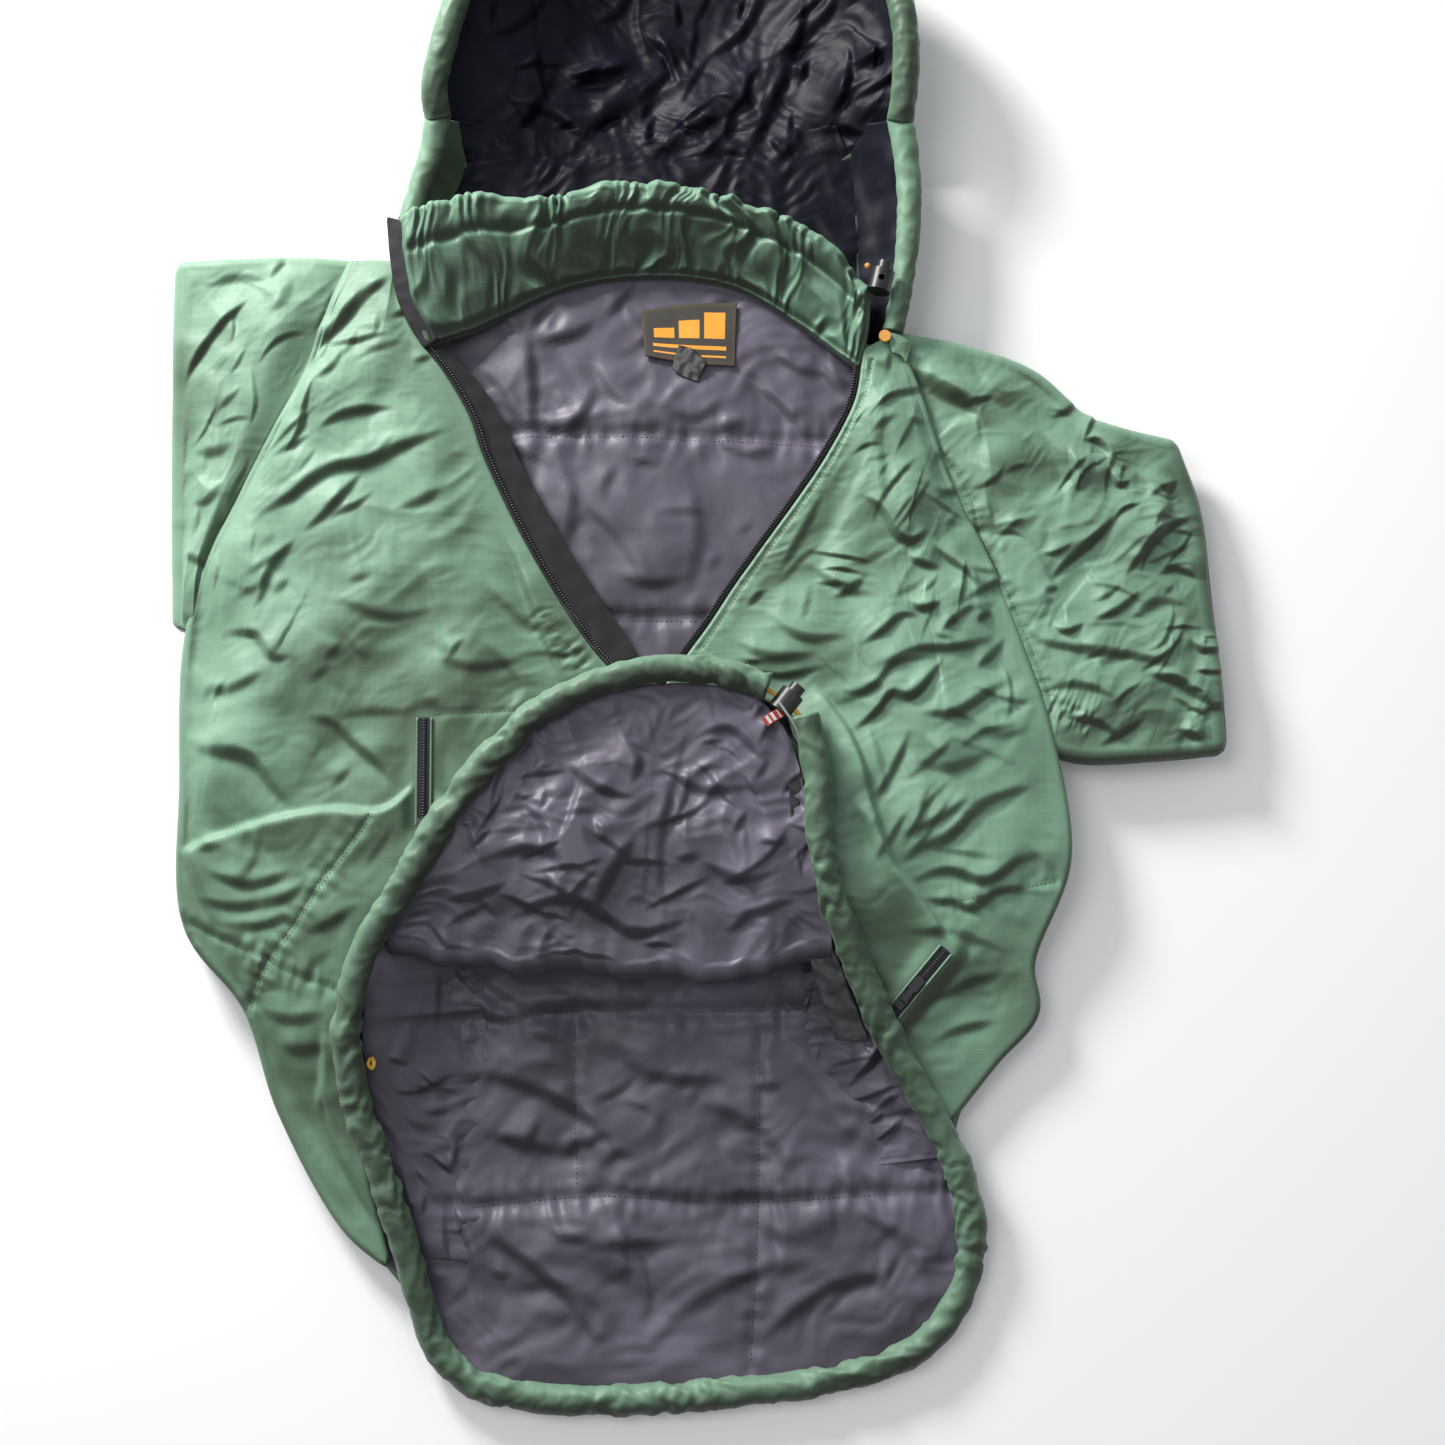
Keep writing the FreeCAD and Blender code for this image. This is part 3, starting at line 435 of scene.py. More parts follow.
def settle(G, pin, grow=1.04, goal=0.02, frames=20, bend=0.3, tension=15.0, gravity=0.0, cap=9.0, down=4.0, pressure=0.0, rest_grid=None, sideways=6.0):
    """Cloth simulation of one sheet: the cloth is `grow` larger than the space it
    has, so that it buckles into folds. pin: 1 held, 0 free; goal holds the rest softly."""
    nv, nu = G.shape[:2]
    j, i = np.mgrid[0:nv - 1, 0:nu - 1]
    a = (j * nu + i).ravel()
    q = np.stack([a, a + 1, a + nu + 1, a + nu], axis=1)
    me = bpy.data.meshes.new("cloth")
    me.from_pydata((G.reshape(-1, 3) / 1000.0 * 10).tolist(), [], q.tolist())
    ob = bpy.data.objects.new("cloth", me)
    scene.collection.objects.link(ob)
    vg = ob.vertex_groups.new(name="pin")
    wgt = np.clip(goal + (1 - goal) * pin.ravel(), 0, 1)
    for lv in np.unique(np.round(wgt, 3)):
        vg.add(np.nonzero(np.abs(np.round(wgt, 3) - lv) < 1e-6)[0].tolist(), float(lv), "REPLACE")
    ob.shape_key_add(name="Basis")
    rest = ob.shape_key_add(name="rest")
    c = G.reshape(-1, 3).mean(axis=0)
    big = (G.reshape(-1, 3) - c) * (grow if np.isscalar(grow) else np.array(grow)) + c
    if rest_grid is not None:
        big = rest_grid.reshape(-1, 3)
    rest.data.foreach_set("co", (big / 1000.0 * 10).astype(np.float32).ravel())
    rest.value = 0.0
    md = ob.modifiers.new("Cloth", "CLOTH")
    st = md.settings
    st.quality = 5
    st.mass = 0.15
    st.tension_stiffness = tension
    st.compression_stiffness = tension
    st.shear_stiffness = tension * 0.4
    st.bending_stiffness = bend
    st.tension_damping = 5
    st.compression_damping = 5
    st.shear_damping = 5
    st.air_damping = 2.0
    st.vertex_group_mass = "pin"
    st.pin_stiffness = 1.0
    st.rest_shape_key = rest
    st.effector_weights.gravity = gravity
    if pressure:
        st.use_pressure = True
        st.uniform_pressure_force = pressure
    md.collision_settings.use_collision = False
    md.collision_settings.use_self_collision = False
    md.point_cache.frame_start = 1
    md.point_cache.frame_end = frames + 1
    for f in range(1, frames + 1):
        scene.frame_set(f)
    dg = bpy.context.evaluated_depsgraph_get()
    ev = ob.evaluated_get(dg)
    co = np.empty(len(me.vertices) * 3, dtype=np.float32)
    ev.data.vertices.foreach_get("co", co)
    H = (co.reshape(nv, nu, 3) / 10.0 * 1000.0).astype(float)
    scene.frame_set(1)
    bpy.data.objects.remove(ob)
    bpy.data.meshes.remove(me)
    D = H - G
    D[..., 2] = np.clip(D[..., 2], -down, cap)
    D[..., :2] = np.clip(D[..., :2], -sideways, sideways)
    bad = ~np.isfinite(D).all(axis=-1)
    D[bad] = 0
    return G + D


# ---------------------------------------------------------------- fold strokes
LIGHT = np.array([-0.18, 0.98])


def crease(G, pts, a, w, zref=40.0, side=0, ends=0.8, dip=0.6):
    """Overlapped crease: a crest on the side that faces the light and a furrow
    behind it. `side` overrides the choice (1: crest on the stroke's left)."""
    P = spread(W([(p[0], p[1], zref) for p in pts]), max(8, 5 * len(pts)))[:, :2]
    return crease_line(G, P, a, w, side, ends, dip)


def crease_line(G, P, a, w, side=0, ends=0.9, dip=0.6):
    d, s, t = seg_dist(G[..., 0], G[..., 1], P)
    if side == 0:
        D = P[-1] - P[0]
        side = 1.0 if (-D[1] * LIGHT[0] + D[0] * LIGHT[1]) > 0 else -1.0
    x = d * s * side
    taper = smooth01(np.minimum(t, 1 - t) / max(1e-3, 0.5 * ends))
    taper = np.where((t <= 0.0) | (t >= 1.0), 0.0, taper)
    w = w * (0.6 + 0.75 * taper)
    wob = 1.0 + 0.35 * perlin(G[..., 0] / 21.0, G[..., 1] / 21.0, 7)
    crest = np.where(x > 0.5 * w, np.exp(-np.abs(x - 0.5 * w) / (3.0 * w)), np.exp(-((x - 0.5 * w) / (0.6 * w)) ** 2))
    trough = np.where(x < -0.4 * w, np.exp(-np.abs(x + 0.4 * w) / (1.9 * w)), np.exp(-((x + 0.4 * w) / (0.45 * w)) ** 2))
    G[..., 2] += a * taper * wob * (crest - dip * trough)
    return G


def scatter(G, seed, n, ang, spread_ang, length, amp, w, mask=None):
    """Many short flowing creases, mostly along `ang`, bent by a slow field."""
    r = np.random.RandomState(seed)
    nv, nu = G.shape[:2]
    for _ in range(n):
        j, i = r.randint(int(nv * 0.05), int(nv * 0.95)), r.randint(int(nu * 0.05), int(nu * 0.95))
        if mask is not None and r.rand() > mask[j, i]:
            continue
        p = G[j, i, :2].copy()
        a = ang + (r.rand() - 0.5) * 2 * spread_ang
        L = length[0] + (length[1] - length[0]) * r.rand() ** 1.5
        bend_ = (r.rand() - 0.5) * 1.6
        P = []
        for k in range(9):
            P.append(p.copy())
            p = p + L / 8.0 * np.array([math.cos(a), math.sin(a)])
            a += bend_ / 8.0 + 0.25 * float(perlin(np.array([p[0] / 18.0]), np.array([p[1] / 18.0]), seed)[0])
        crease_line(G, np.array(P), amp * (0.5 + r.rand()), w * (0.7 + 0.6 * r.rand()), ends=1.0)
    return G


def swell(G, seed, size, amp, mask=1.0):
    """Slow rise and fall of lofted cloth."""
    G[..., 2] += amp * perlin(G[..., 0] / size, G[..., 1] / size, seed) * mask
    return G


def sink(G, pts, drop, near, far):
    """Draws the cloth down to a straight run of zip, `drop` below its line."""
    P = spread(W(pts), 40)
    d, _, t = seg_dist(G[..., 0], G[..., 1], P[:, :2])
    z = np.interp(t, np.linspace(0, 1, 40), P[:, 2]) - drop
    k = 1 - smooth01((d - near) / (far - near))
    G[..., 2] = G[..., 2] * (1 - k) + z * k
    return G


def creases(G, rows, zref=40.0, gain=1.0):
    for a, w, pts in rows:
        crease(G, pts, a * gain, w, zref)
    return G


def seam_line(G, pts, depth=1.4, w=2.0, pucker=0.9, pitch=7.0, reach=9.0, zref=40.0, seed=5):
    """Stitched seam: a narrow furrow with small puckers that run off it."""
    P = spread(W([(p[0], p[1], zref) for p in pts]), max(12, 8 * len(pts)))[:, :2]
    d, s, t = seg_dist(G[..., 0], G[..., 1], P)
    tot = np.linalg.norm(np.diff(P, axis=0), axis=1).sum()
    inside = ((t > 0.0) & (t < 1.0)).astype(float)
    G[..., 2] -= depth * inside * np.exp(-(d / w) ** 2)
    run = t * tot
    n = perlin(run / pitch, d * s / (reach * 1.6), seed) + 0.6 * perlin(run / (pitch * 0.55), d * s / reach, seed + 3)
    G[..., 2] += pucker * inside * n * np.exp(-(d / reach) ** 2)
    return G


# ---------------------------------------------------------------- materials
def ramp(nt, fac, stops):
    r = nt.nodes.new("ShaderNodeValToRGB")
    while len(r.color_ramp.elements) < len(stops):
        r.color_ramp.elements.new(0.5)
    for e, (p, c) in zip(r.color_ramp.elements, stops):
        e.position = p
        e.color = (c[0], c[1], c[2], 1)
    nt.links.new(fac, r.inputs["Fac"])
    return r.outputs["Color"]


def mathn(nt, op, a, b=None):
    n = nt.nodes.new("ShaderNodeMath")
    n.operation = op
    for i, v in enumerate((a, b)):
        if v is None:
            continue
        if isinstance(v, (int, float)):
            n.inputs[i].default_value = v
        else:
            nt.links.new(v, n.inputs[i])
    return n.outputs[0]


def cloth_mat(name, stops, rough, spec=0.5, sheen=0.0, grid=0.0, fine=0.25, fine_scale=900.0, patch=7.0, painted_light_tilt=0.9, rough_var=0.0):
    """Woven fabric: painted light and shade by the lie of the cloth (lighter on slopes facing the key light, darker on
    slopes facing away) and tone drifting in slow patches, over a fine weave and an optional square reinforcing grid."""
    m = bpy.data.materials.new(name)
    m.use_nodes = True
    nt = m.node_tree
    bs = nt.nodes["Principled BSDF"]
    tc = nt.nodes.new("ShaderNodeTexCoord")
    n1 = nt.nodes.new("ShaderNodeTexNoise")
    n1.inputs["Scale"].default_value = patch
    n1.inputs["Detail"].default_value = 2.0
    nt.links.new(tc.outputs["Object"], n1.inputs["Vector"])
    sp = nt.nodes.new("ShaderNodeSeparateXYZ")
    nt.links.new(tc.outputs["Normal"], sp.inputs[0])
    # painted light and shade: the normal leaning towards the key light (+Y, slightly -X) moves the colour up the ramp,
    # leaning away moves it down
    painted_light_lean = mathn(nt, "ADD", mathn(nt, "MULTIPLY", sp.outputs["Y"], painted_light_tilt), mathn(nt, "MULTIPLY", sp.outputs["X"], -0.35 * painted_light_tilt))
    fac = mathn(nt, "ADD", mathn(nt, "MULTIPLY", n1.outputs["Fac"], 0.75), mathn(nt, "ADD", mathn(nt, "MULTIPLY", painted_light_lean, 0.5), 0.12))
    nt.links.new(ramp(nt, fac, stops), bs.inputs["Base Color"])
    bs.inputs["Roughness"].default_value = rough
    bs.inputs["Specular IOR Level"].default_value = spec
    bs.inputs["Sheen Weight"].default_value = sheen
    bs.inputs["Sheen Roughness"].default_value = 0.4
    n2 = nt.nodes.new("ShaderNodeTexNoise")
    n2.inputs["Scale"].default_value = fine_scale
    n2.inputs["Detail"].default_value = 2.0
    nt.links.new(tc.outputs["Object"], n2.inputs["Vector"])
    h = mathn(nt, "MULTIPLY", n2.outputs["Fac"], fine)
    n3 = nt.nodes.new("ShaderNodeTexNoise")
    n3.inputs["Scale"].default_value = 130.0
    n3.inputs["Detail"].default_value = 3.0
    nt.links.new(tc.outputs["Object"], n3.inputs["Vector"])
    h = mathn(nt, "ADD", h, mathn(nt, "MULTIPLY", n3.outputs["Fac"], 0.9))
    if grid:
        sx = nt.nodes.new("ShaderNodeSeparateXYZ")
        nt.links.new(tc.outputs["Object"], sx.inputs[0])
        for ax in ("X", "Y"):
            f = mathn(nt, "FRACT", mathn(nt, "MULTIPLY", sx.outputs[ax], 1 / 0.0052))
            li = mathn(nt, "LESS_THAN", mathn(nt, "ABSOLUTE", mathn(nt, "SUBTRACT", f, 0.5)), 0.11)
            h = mathn(nt, "ADD", h, mathn(nt, "MULTIPLY", li, grid))
    b = nt.nodes.new("ShaderNodeBump")
    b.inputs["Strength"].default_value = 0.55
    b.inputs["Distance"].default_value = 0.0004
    nt.links.new(h, b.inputs["Height"])
    nt.links.new(b.outputs["Normal"], bs.inputs["Normal"])
    return m


def plain_mat(name, col, rough, metal=0.0, spec=0.5, noise=0.0, scale=600.0, emit=None):
    m = bpy.data.materials.new(name)
    m.use_nodes = True
    nt = m.node_tree
    bs = nt.nodes["Principled BSDF"]
    bs.inputs["Base Color"].default_value = (*col, 1)
    bs.inputs["Roughness"].default_value = rough
    bs.inputs["Metallic"].default_value = metal
    bs.inputs["Specular IOR Level"].default_value = spec
    if noise:
        tc = nt.nodes.new("ShaderNodeTexCoord")
        n = nt.nodes.new("ShaderNodeTexNoise")
        n.inputs["Scale"].default_value = scale
        nt.links.new(tc.outputs["Object"], n.inputs["Vector"])
        b = nt.nodes.new("ShaderNodeBump")
        b.inputs["Strength"].default_value = noise
        b.inputs["Distance"].default_value = 0.0003
        nt.links.new(n.outputs["Fac"], b.inputs["Height"])
        nt.links.new(b.outputs["Normal"], bs.inputs["Normal"])
    return m


# Each ramp runs from painted-shade stops, on slopes facing away from the key light, to painted-light stops, on slopes
# facing it.
GREEN = cloth_mat("shell green", [(0.08, (0.036, 0.046, 0.028)), (0.33, (0.070, 0.120, 0.072)), (0.60, (0.150, 0.268, 0.180)), (0.95, (0.215, 0.365, 0.255))],
                  0.48, spec=0.30, sheen=0.15, grid=0.35, fine=0.3, painted_light_tilt=1.35)
# Darker copy of the shell green for the collar: painted shade of its gathered folds.
COLLAR_PAINTED_SHADE = cloth_mat("shell green, collar", [(0.08, (0.022, 0.034, 0.020)), (0.36, (0.050, 0.096, 0.060)), (0.66, (0.120, 0.225, 0.150)), (0.95, (0.180, 0.320, 0.220))],
                   0.44, spec=0.32, sheen=0.15, grid=0.3, fine=0.3, painted_light_tilt=1.5)
# Darker copy of the shell green for the hem and hood-rim channels: painted shade of the gathered channels.
HEMGREEN_PAINTED_SHADE = cloth_mat("shell green, hem", [(0.08, (0.022, 0.030, 0.018)), (0.36, (0.044, 0.074, 0.044)), (0.66, (0.096, 0.168, 0.106)), (0.95, (0.165, 0.280, 0.190))],
                     0.46, spec=0.32, sheen=0.12, grid=0.3, fine=0.3, painted_light_tilt=1.3)
LINING = cloth_mat("lining aubergine", [(0.2, (0.024, 0.019, 0.028)), (0.6, (0.084, 0.073, 0.105)), (0.9, (0.128, 0.112, 0.160))],
                   0.46, spec=0.42, sheen=0.1, fine=0.35, painted_light_tilt=0.9)
# Near-black copy of the lining for the hood's inside, also used on the hood neck and one gore: painted shade of the
# deep hood bowl.
HOODLINING_PAINTED_SHADE = cloth_mat("lining aubergine, hood", [(0.15, (0.002, 0.002, 0.005)), (0.6, (0.006, 0.006, 0.013)), (0.95, (0.017, 0.017, 0.030))],
                       0.46, spec=0.13, fine=0.35, painted_light_tilt=0.9)
SATIN = cloth_mat("black satin", [(0.2, (0.010, 0.010, 0.011)), (0.9, (0.020, 0.019, 0.021))], 0.30, spec=0.6, painted_light_tilt=0.5)
TAPE = cloth_mat("zip tape", [(0.2, (0.010, 0.010, 0.012)), (0.9, (0.022, 0.021, 0.025))], 0.7, spec=0.3, fine=0.8, fine_scale=1500.0)
COIL = plain_mat("zip coil", (0.030, 0.029, 0.035), 0.30, spec=0.6)
METAL = plain_mat("black enamel", (0.02, 0.02, 0.022), 0.28, metal=0.3, spec=0.6)
PLASTIC = plain_mat("black plastic", (0.014, 0.014, 0.016), 0.38, noise=0.15)
STEEL = plain_mat("spring steel", (0.55, 0.55, 0.56), 0.25, metal=1.0)
CORD = plain_mat("drawcord, yellow-orange", (0.62, 0.33, 0.045), 0.7, noise=0.8, scale=1400.0)
GREY = plain_mat("thin grey cord", (0.22, 0.25, 0.24), 0.7, noise=0.6, scale=1400.0)
ORANGE = plain_mat("orange stops", (0.62, 0.28, 0.06), 0.45)
RED = plain_mat("tag red", (0.40, 0.045, 0.035), 0.7, noise=0.5, scale=1600.0)
WHITE = plain_mat("tag white", (0.72, 0.70, 0.66), 0.7, noise=0.5, scale=1600.0)
LABEL = plain_mat("label ground", (0.036, 0.032, 0.026), 0.75, noise=0.7, scale=1800.0)
MARK = plain_mat("label mark", (0.78, 0.30, 0.020), 0.65, noise=0.7, scale=1800.0)
EDGE = plain_mat("label edge", (0.055, 0.040, 0.024), 0.75, noise=0.6, scale=1800.0)
THREAD = plain_mat("sewing thread, dark green", (0.030, 0.062, 0.038), 0.6)
THREAD_D = plain_mat("sewing thread, dark", (0.012, 0.011, 0.014), 0.6)

CAD = {o["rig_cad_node"]: o for o in bpy.data.objects if "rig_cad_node" in o}


def paint(mat, *names):
    for n in names:
        o = CAD[n]
        o.data.materials.clear()
        o.data.materials.append(mat)


paint(PLASTIC, "hem_lock_body", "hood_lock_body", "hem_lock_plunger", "hood_lock_plunger", "zip_pull", "left_pocket_pull", "right_pocket_pull")
paint(METAL, "zip_slider", "left_pocket_slider", "right_pocket_slider")
paint(STEEL, "hem_lock_spring", "hood_lock_spring")
paint(CORD, "hem_drawcord", "collar_drawcord", "hood_drawcord")
paint(ORANGE, "zip_stops")


# ---------------------------------------------------------------- small parts
def height_on(G, xy):
    """Height of a grid at points, by nearest vertex."""
    V = G.reshape(-1, 3)
    out = np.empty(len(xy))
    for i, p in enumerate(xy):
        d = (V[:, 0] - p[0]) ** 2 + (V[:, 1] - p[1]) ** 2
        k = np.argpartition(d, 3)[:3]
        w = 1.0 / (d[k] + 0.05)
        out[i] = (V[k, 2] * w).sum() / w.sum()
    return out


def along(P, pitch):
    s = np.r_[0, np.cumsum(np.linalg.norm(np.diff(P, axis=0), axis=1))]
    t = np.arange(pitch * 0.5, s[-1], pitch)
    Q = np.stack([np.interp(t, s, P[:, k]) for k in range(3)], axis=1)
    T = np.stack([np.interp(t + 0.6, s, P[:, k]) - np.interp(t - 0.6, s, P[:, k]) for k in range(3)], axis=1)
    T /= np.maximum(1e-6, np.linalg.norm(T, axis=1))[:, None]
    return Q, T


def beads(name, P, pitch, size, mat, side=0.0, up=0.0, body=G0, skew=0.0):
    """Rounded blocks along a path: size = (along, across, high)."""
    Q, T = along(P, pitch)
    a, b, c = size[0] / 2, size[1] / 2, size[2] / 2
    ring = [(math.cos(t), math.sin(t)) for t in np.linspace(0, 2 * np.pi, 8, endpoint=False)]
    unit = [(0, 0, 1)]
    for z, r in ((0.62, 0.78), (-0.5, 0.9)):
        unit += [(r * x, r * y, z) for x, y in ring]
    unit = np.array(unit + [(0, 0, -1)])
    unit[:, 0] *= a
    unit[:, 1] *= b
    unit[:, 2] *= c
    tri = [(0, 1 + k, 1 + (k + 1) % 8) for k in range(8)]
    tri += [(1 + k, 9 + k, 9 + (k + 1) % 8, 1 + (k + 1) % 8) for k in range(8)]
    tri += [(17, 9 + (k + 1) % 8, 9 + k) for k in range(8)]
    verts, faces = [], []
    for q, t in zip(Q, T):
        s = np.array([-t[1], t[0], 0.0])
        s /= max(1e-6, np.linalg.norm(s))
        n = np.cross(t, s)
        ta = t * math.cos(skew) + s * math.sin(skew)
        sa = s * math.cos(skew) - t * math.sin(skew)
        base = len(verts) * 18
        verts.append(q + s * side + n * up + unit[:, 0:1] * ta + unit[:, 1:2] * sa + unit[:, 2:3] * n)
        faces += [tuple(base + i for i in f) for f in tri]
    return new_mesh(name, np.vstack(verts), faces, [mat], None, body)


def ribbon(name, A, B, thick, mat, n=120, m=5, body=G0, amp=0.0, seed=3, sag=0.0, size=9.0):
    """Thin strip between two lines of points."""
    a, b = spread(A, n), spread(B, n)
    v = np.linspace(0, 1, m)[:, None, None]
    G = a[None] * (1 - v) + b[None] * v
    G[..., 2] -= sag * (4 * v * (1 - v))[..., 0]
    if amp:
        G[..., 2] += amp * perlin(G[..., 0] / size, G[..., 1] / size, seed)
    mats = mat if isinstance(mat, (list, tuple)) else (mat, mat)
    return quilt(name, G, thick, mats, body), G


def offset(P, d):
    """Path moved sideways by d, to its left seen from above."""
    T = np.gradient(P, axis=0)
    s = np.stack([-T[:, 1], T[:, 0], np.zeros(len(P))], axis=1)
    s /= np.maximum(1e-6, np.linalg.norm(s, axis=1))[:, None]
    return P + s * d


def on(G, pts, lift=0.25, n=160, zref=40.0):
    """A drawn line laid on a grid."""
    P = spread(W([(p[0], p[1], zref) for p in pts]), n)
    P[:, 2] = height_on(G, P[:, :2]) + lift
    return P


def rod_along(name, P, r, mat, body=G0, ns=10):
    return tube(name, np.asarray(P, dtype=float), r, [mat], body, ns)


def back_z(y):
    """Height of the back's lining face against the row frame's y."""
    t = np.clip((y - SHIFT[1] + 290.0) / 190.0, 0, 1)
    return 9.2 + 14.8 * t * t * (3 - 2 * t) + SHIFT[2]


SHEETS, PADS = [], []


def cut(G):
    """Width and length of a grid's cloth, laid flat, in metres."""
    w = np.linalg.norm(np.diff(G, axis=1), axis=2).sum(axis=1).mean()
    h = np.linalg.norm(np.diff(G, axis=0), axis=2).sum(axis=0).mean()
    return max(0.0101, round(float(w) / 1000.0, 4)), max(0.0101, round(float(h) / 1000.0, 4))


# ================================================================ body panels
Q = 1.0


def num(n):
    return int(n * Q)


# ---- back: lining up, shell down
BACK_TOP = [(352, 276, 24), (398, 292, 24), (450, 312, 24), (500, 304, 24), (560, 280, 24), (620, 268, 24), (690, 268, 24), (740, 280, 24), (800, 314, 24), (845, 345, 24), (880, 348, 24)]
BACK_LEFT = [(352, 276, 24), (304, 385, 24), (254, 480, 24), (212, 575, 24), (194, 645, 24), (186, 780, 24), (188, 925, 22), (247, 1008, 15), (284, 1112, 10), (358, 1225, 9), (410, 1290, 9), (450, 1350, 9)]
BACK_RIGHT = [(880, 348, 24), (928, 440, 24), (975, 562, 24), (1015, 650, 24), (1050, 755, 24), (1062, 862, 23), (1026, 962, 16), (1024, 1012, 12), (985, 1062, 9.5), (952, 1128, 9), (966, 1210, 9), (958, 1290, 9)]
BACK_BOT = [(450, 1350, 9), (486, 1385, 9), (540, 1394, 9), (620, 1394, 9), (740, 1386, 9), (840, 1374, 9), (900, 1350, 9), (958, 1290, 9)]
NU, NV = num(168), num(254)
GB = coons(W(BACK_BOT), W(BACK_TOP), W(BACK_LEFT[::-1]), W(BACK_RIGHT[::-1]), NU, NV)
GB[..., 2] = back_z(GB[..., 1])
base_b = GB.copy()
mk = edge_mask(NU, NV, 8)
# quilting puffs between the stitched rows
for row in ([(300, 440), (600, 437), (830, 446), (960, 450)], [(260, 622), (600, 620), (720, 622), (1000, 640)],
            [(200, 900), (480, 1022), (576, 1011), (670, 1012), (800, 1010), (1010, 980)],
            [(330, 1200), (470, 1208), (600, 1196), (720, 1203), (960, 1190)]):
    seam_line(GB, row, depth=3.2, w=5.0, pucker=1.7, pitch=9.0, reach=16.0, zref=14.0, seed=8)
for col in ([(575, 1010), (574, 1100), (578, 1190)], [(760, 1010), (758, 1200), (750, 1372)]):
    seam_line(GB, col, depth=2.0, w=4.0, pucker=1.2, pitch=10.0, reach=12.0, zref=14.0, seed=9)
creases(GB, [
    (3.2, 5, [(528, 332), (534, 393), (531, 436)]), (3.0, 4, [(528, 332), (550, 307), (571, 295)]), (3.0, 4, [(531, 341), (568, 338), (599, 320)]),
    (2.6, 4, [(491, 310), (522, 335)]), (3.2, 5, [(540, 424), (568, 430), (589, 405), (595, 381)]), (2.6, 5, [(592, 356), (611, 393), (640, 410)]),
    (2.4, 5, [(470, 360), (505, 395), (520, 430)]), (2.4, 5, [(640, 395), (690, 420), (730, 400)]), (3.0, 5, [(740, 380), (775, 400), (812, 445)]),
    (2.6, 5, [(760, 345), (800, 372), (836, 372)]), (2.4, 5, [(700, 430), (745, 455), (790, 445)]), (2.2, 5, [(560, 450), (575, 500), (560, 560)]),
    (2.0, 7, [(540, 480), (600, 520), (660, 600)]), (2.2, 7, [(690, 470), (700, 540), (680, 610)]), (2.2, 6, [(600, 570), (650, 585), (700, 575)])], zref=24.0)
creases(GB, [
    (3.6, 8, [(440, 1070), (520, 1085), (590, 1120), (640, 1180)]), (3.2, 7, [(470, 1130), (560, 1150), (620, 1130)]), (3.0, 7, [(600, 1040), (650, 1075), (740, 1080)]),
    (3.4, 8, [(690, 1100), (760, 1130), (800, 1190)]), (3.0, 7, [(790, 1050), (830, 1110), (850, 1180)]), (3.6, 8, [(480, 1230), (560, 1290), (600, 1350)]),
    (3.4, 7, [(520, 1220), (600, 1245), (700, 1240)]), (3.2, 8, [(640, 1360), (700, 1300), (800, 1260)]), (3.2, 8, [(760, 1340), (830, 1290), (900, 1270)]),
    (2.8, 7, [(850, 1210), (900, 1240), (930, 1290)]), (3.0, 7, [(440, 1180), (470, 1260), (480, 1330)]), (2.6, 6, [(620, 1215), (650, 1290), (640, 1340)])], zref=10.0)
v_part = smooth01((GB[..., 1] - 60.0) / 80.0)
swell(GB, 25, 55.0, 3.0, mk)
scatter(GB, 26, 150, 0.3, 1.6, (18, 60), 1.5, 3.4)
GB = buckle(GB, 5.5, 1.05, cap=5.0, down=3.0)
crumple(GB, 21, 26.0, 2.6, 0.6, 2.0, mk * (0.45 + 0.5 * v_part))
crumple(GB, 22, 13.0, 1.3, -0.5, 2.0, mk * (0.35 + 0.6 * v_part))
low_part = 1 - smooth01((GB[..., 1] + 110.0) / 60.0)
crumple(GB, 23, 34.0, 3.6, -0.35, 2.4, mk * low_part)
crumple(GB, 24, 17.0, 1.7, 0.5, 2.0, mk * low_part)
GB[..., 2] = np.maximum(GB[..., 2], base_b[..., 2] - 4.5)
under_b = base_b.copy()
swell(under_b, 27, 60.0, 1.6, edge_mask(NU, NV, 8))
crumple(under_b, 28, 26.0, 1.8, 0.5, 2.2, edge_mask(NU, NV, 8))
back = quilt("back_panel", GB, 8.8, (LINING, GREEN), r={"b": 2.0, "t": 3.0, "l": 3.0, "r": 3.0}, base=under_b, roll=1)
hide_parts("back_shell", "back_insulation", "back_lining")

# ---- image-right front (the wearer's left)
LF_INNER = [(866, 352, 46), (858, 400, 47), (830, 455, 47), (800, 500, 46), (760, 555, 45), (735, 590, 44), (712, 625, 43.5), (690, 655, 43), (657, 700, 43)]
LF_OUTER = [(893, 338, 40), (915, 390, 41), (945, 480, 40), (985, 562, 38), (1020, 650, 37), (1050, 742, 36), (1066, 860, 34.5), (1030, 962, 27), (1034, 1012, 23), (994, 1060, 20.5), (948, 1118, 19.2)]
LF_TOP = [(866, 352, 46), (880, 344, 43), (893, 338, 40)]
LF_BOT = [(657, 700, 43), (700, 690, 43), (755, 694, 43), (798, 720, 43), (812, 780, 44), (816, 845, 44), (832, 915, 40), (857, 972, 32.5), (888, 1036, 24.5), (907, 1068, 21.6), (948, 1118, 19.2)]
NU, NV = num(172), num(246)
GL = coons(W(LF_BOT), W(LF_TOP), W(LF_INNER[::-1]), W(LF_OUTER[::-1]), NU, NV)
base_l = GL.copy()
mk = edge_mask(NU, NV, 9)
GL[..., 2] += 3.0 * edge_mask(NU, NV, 40)
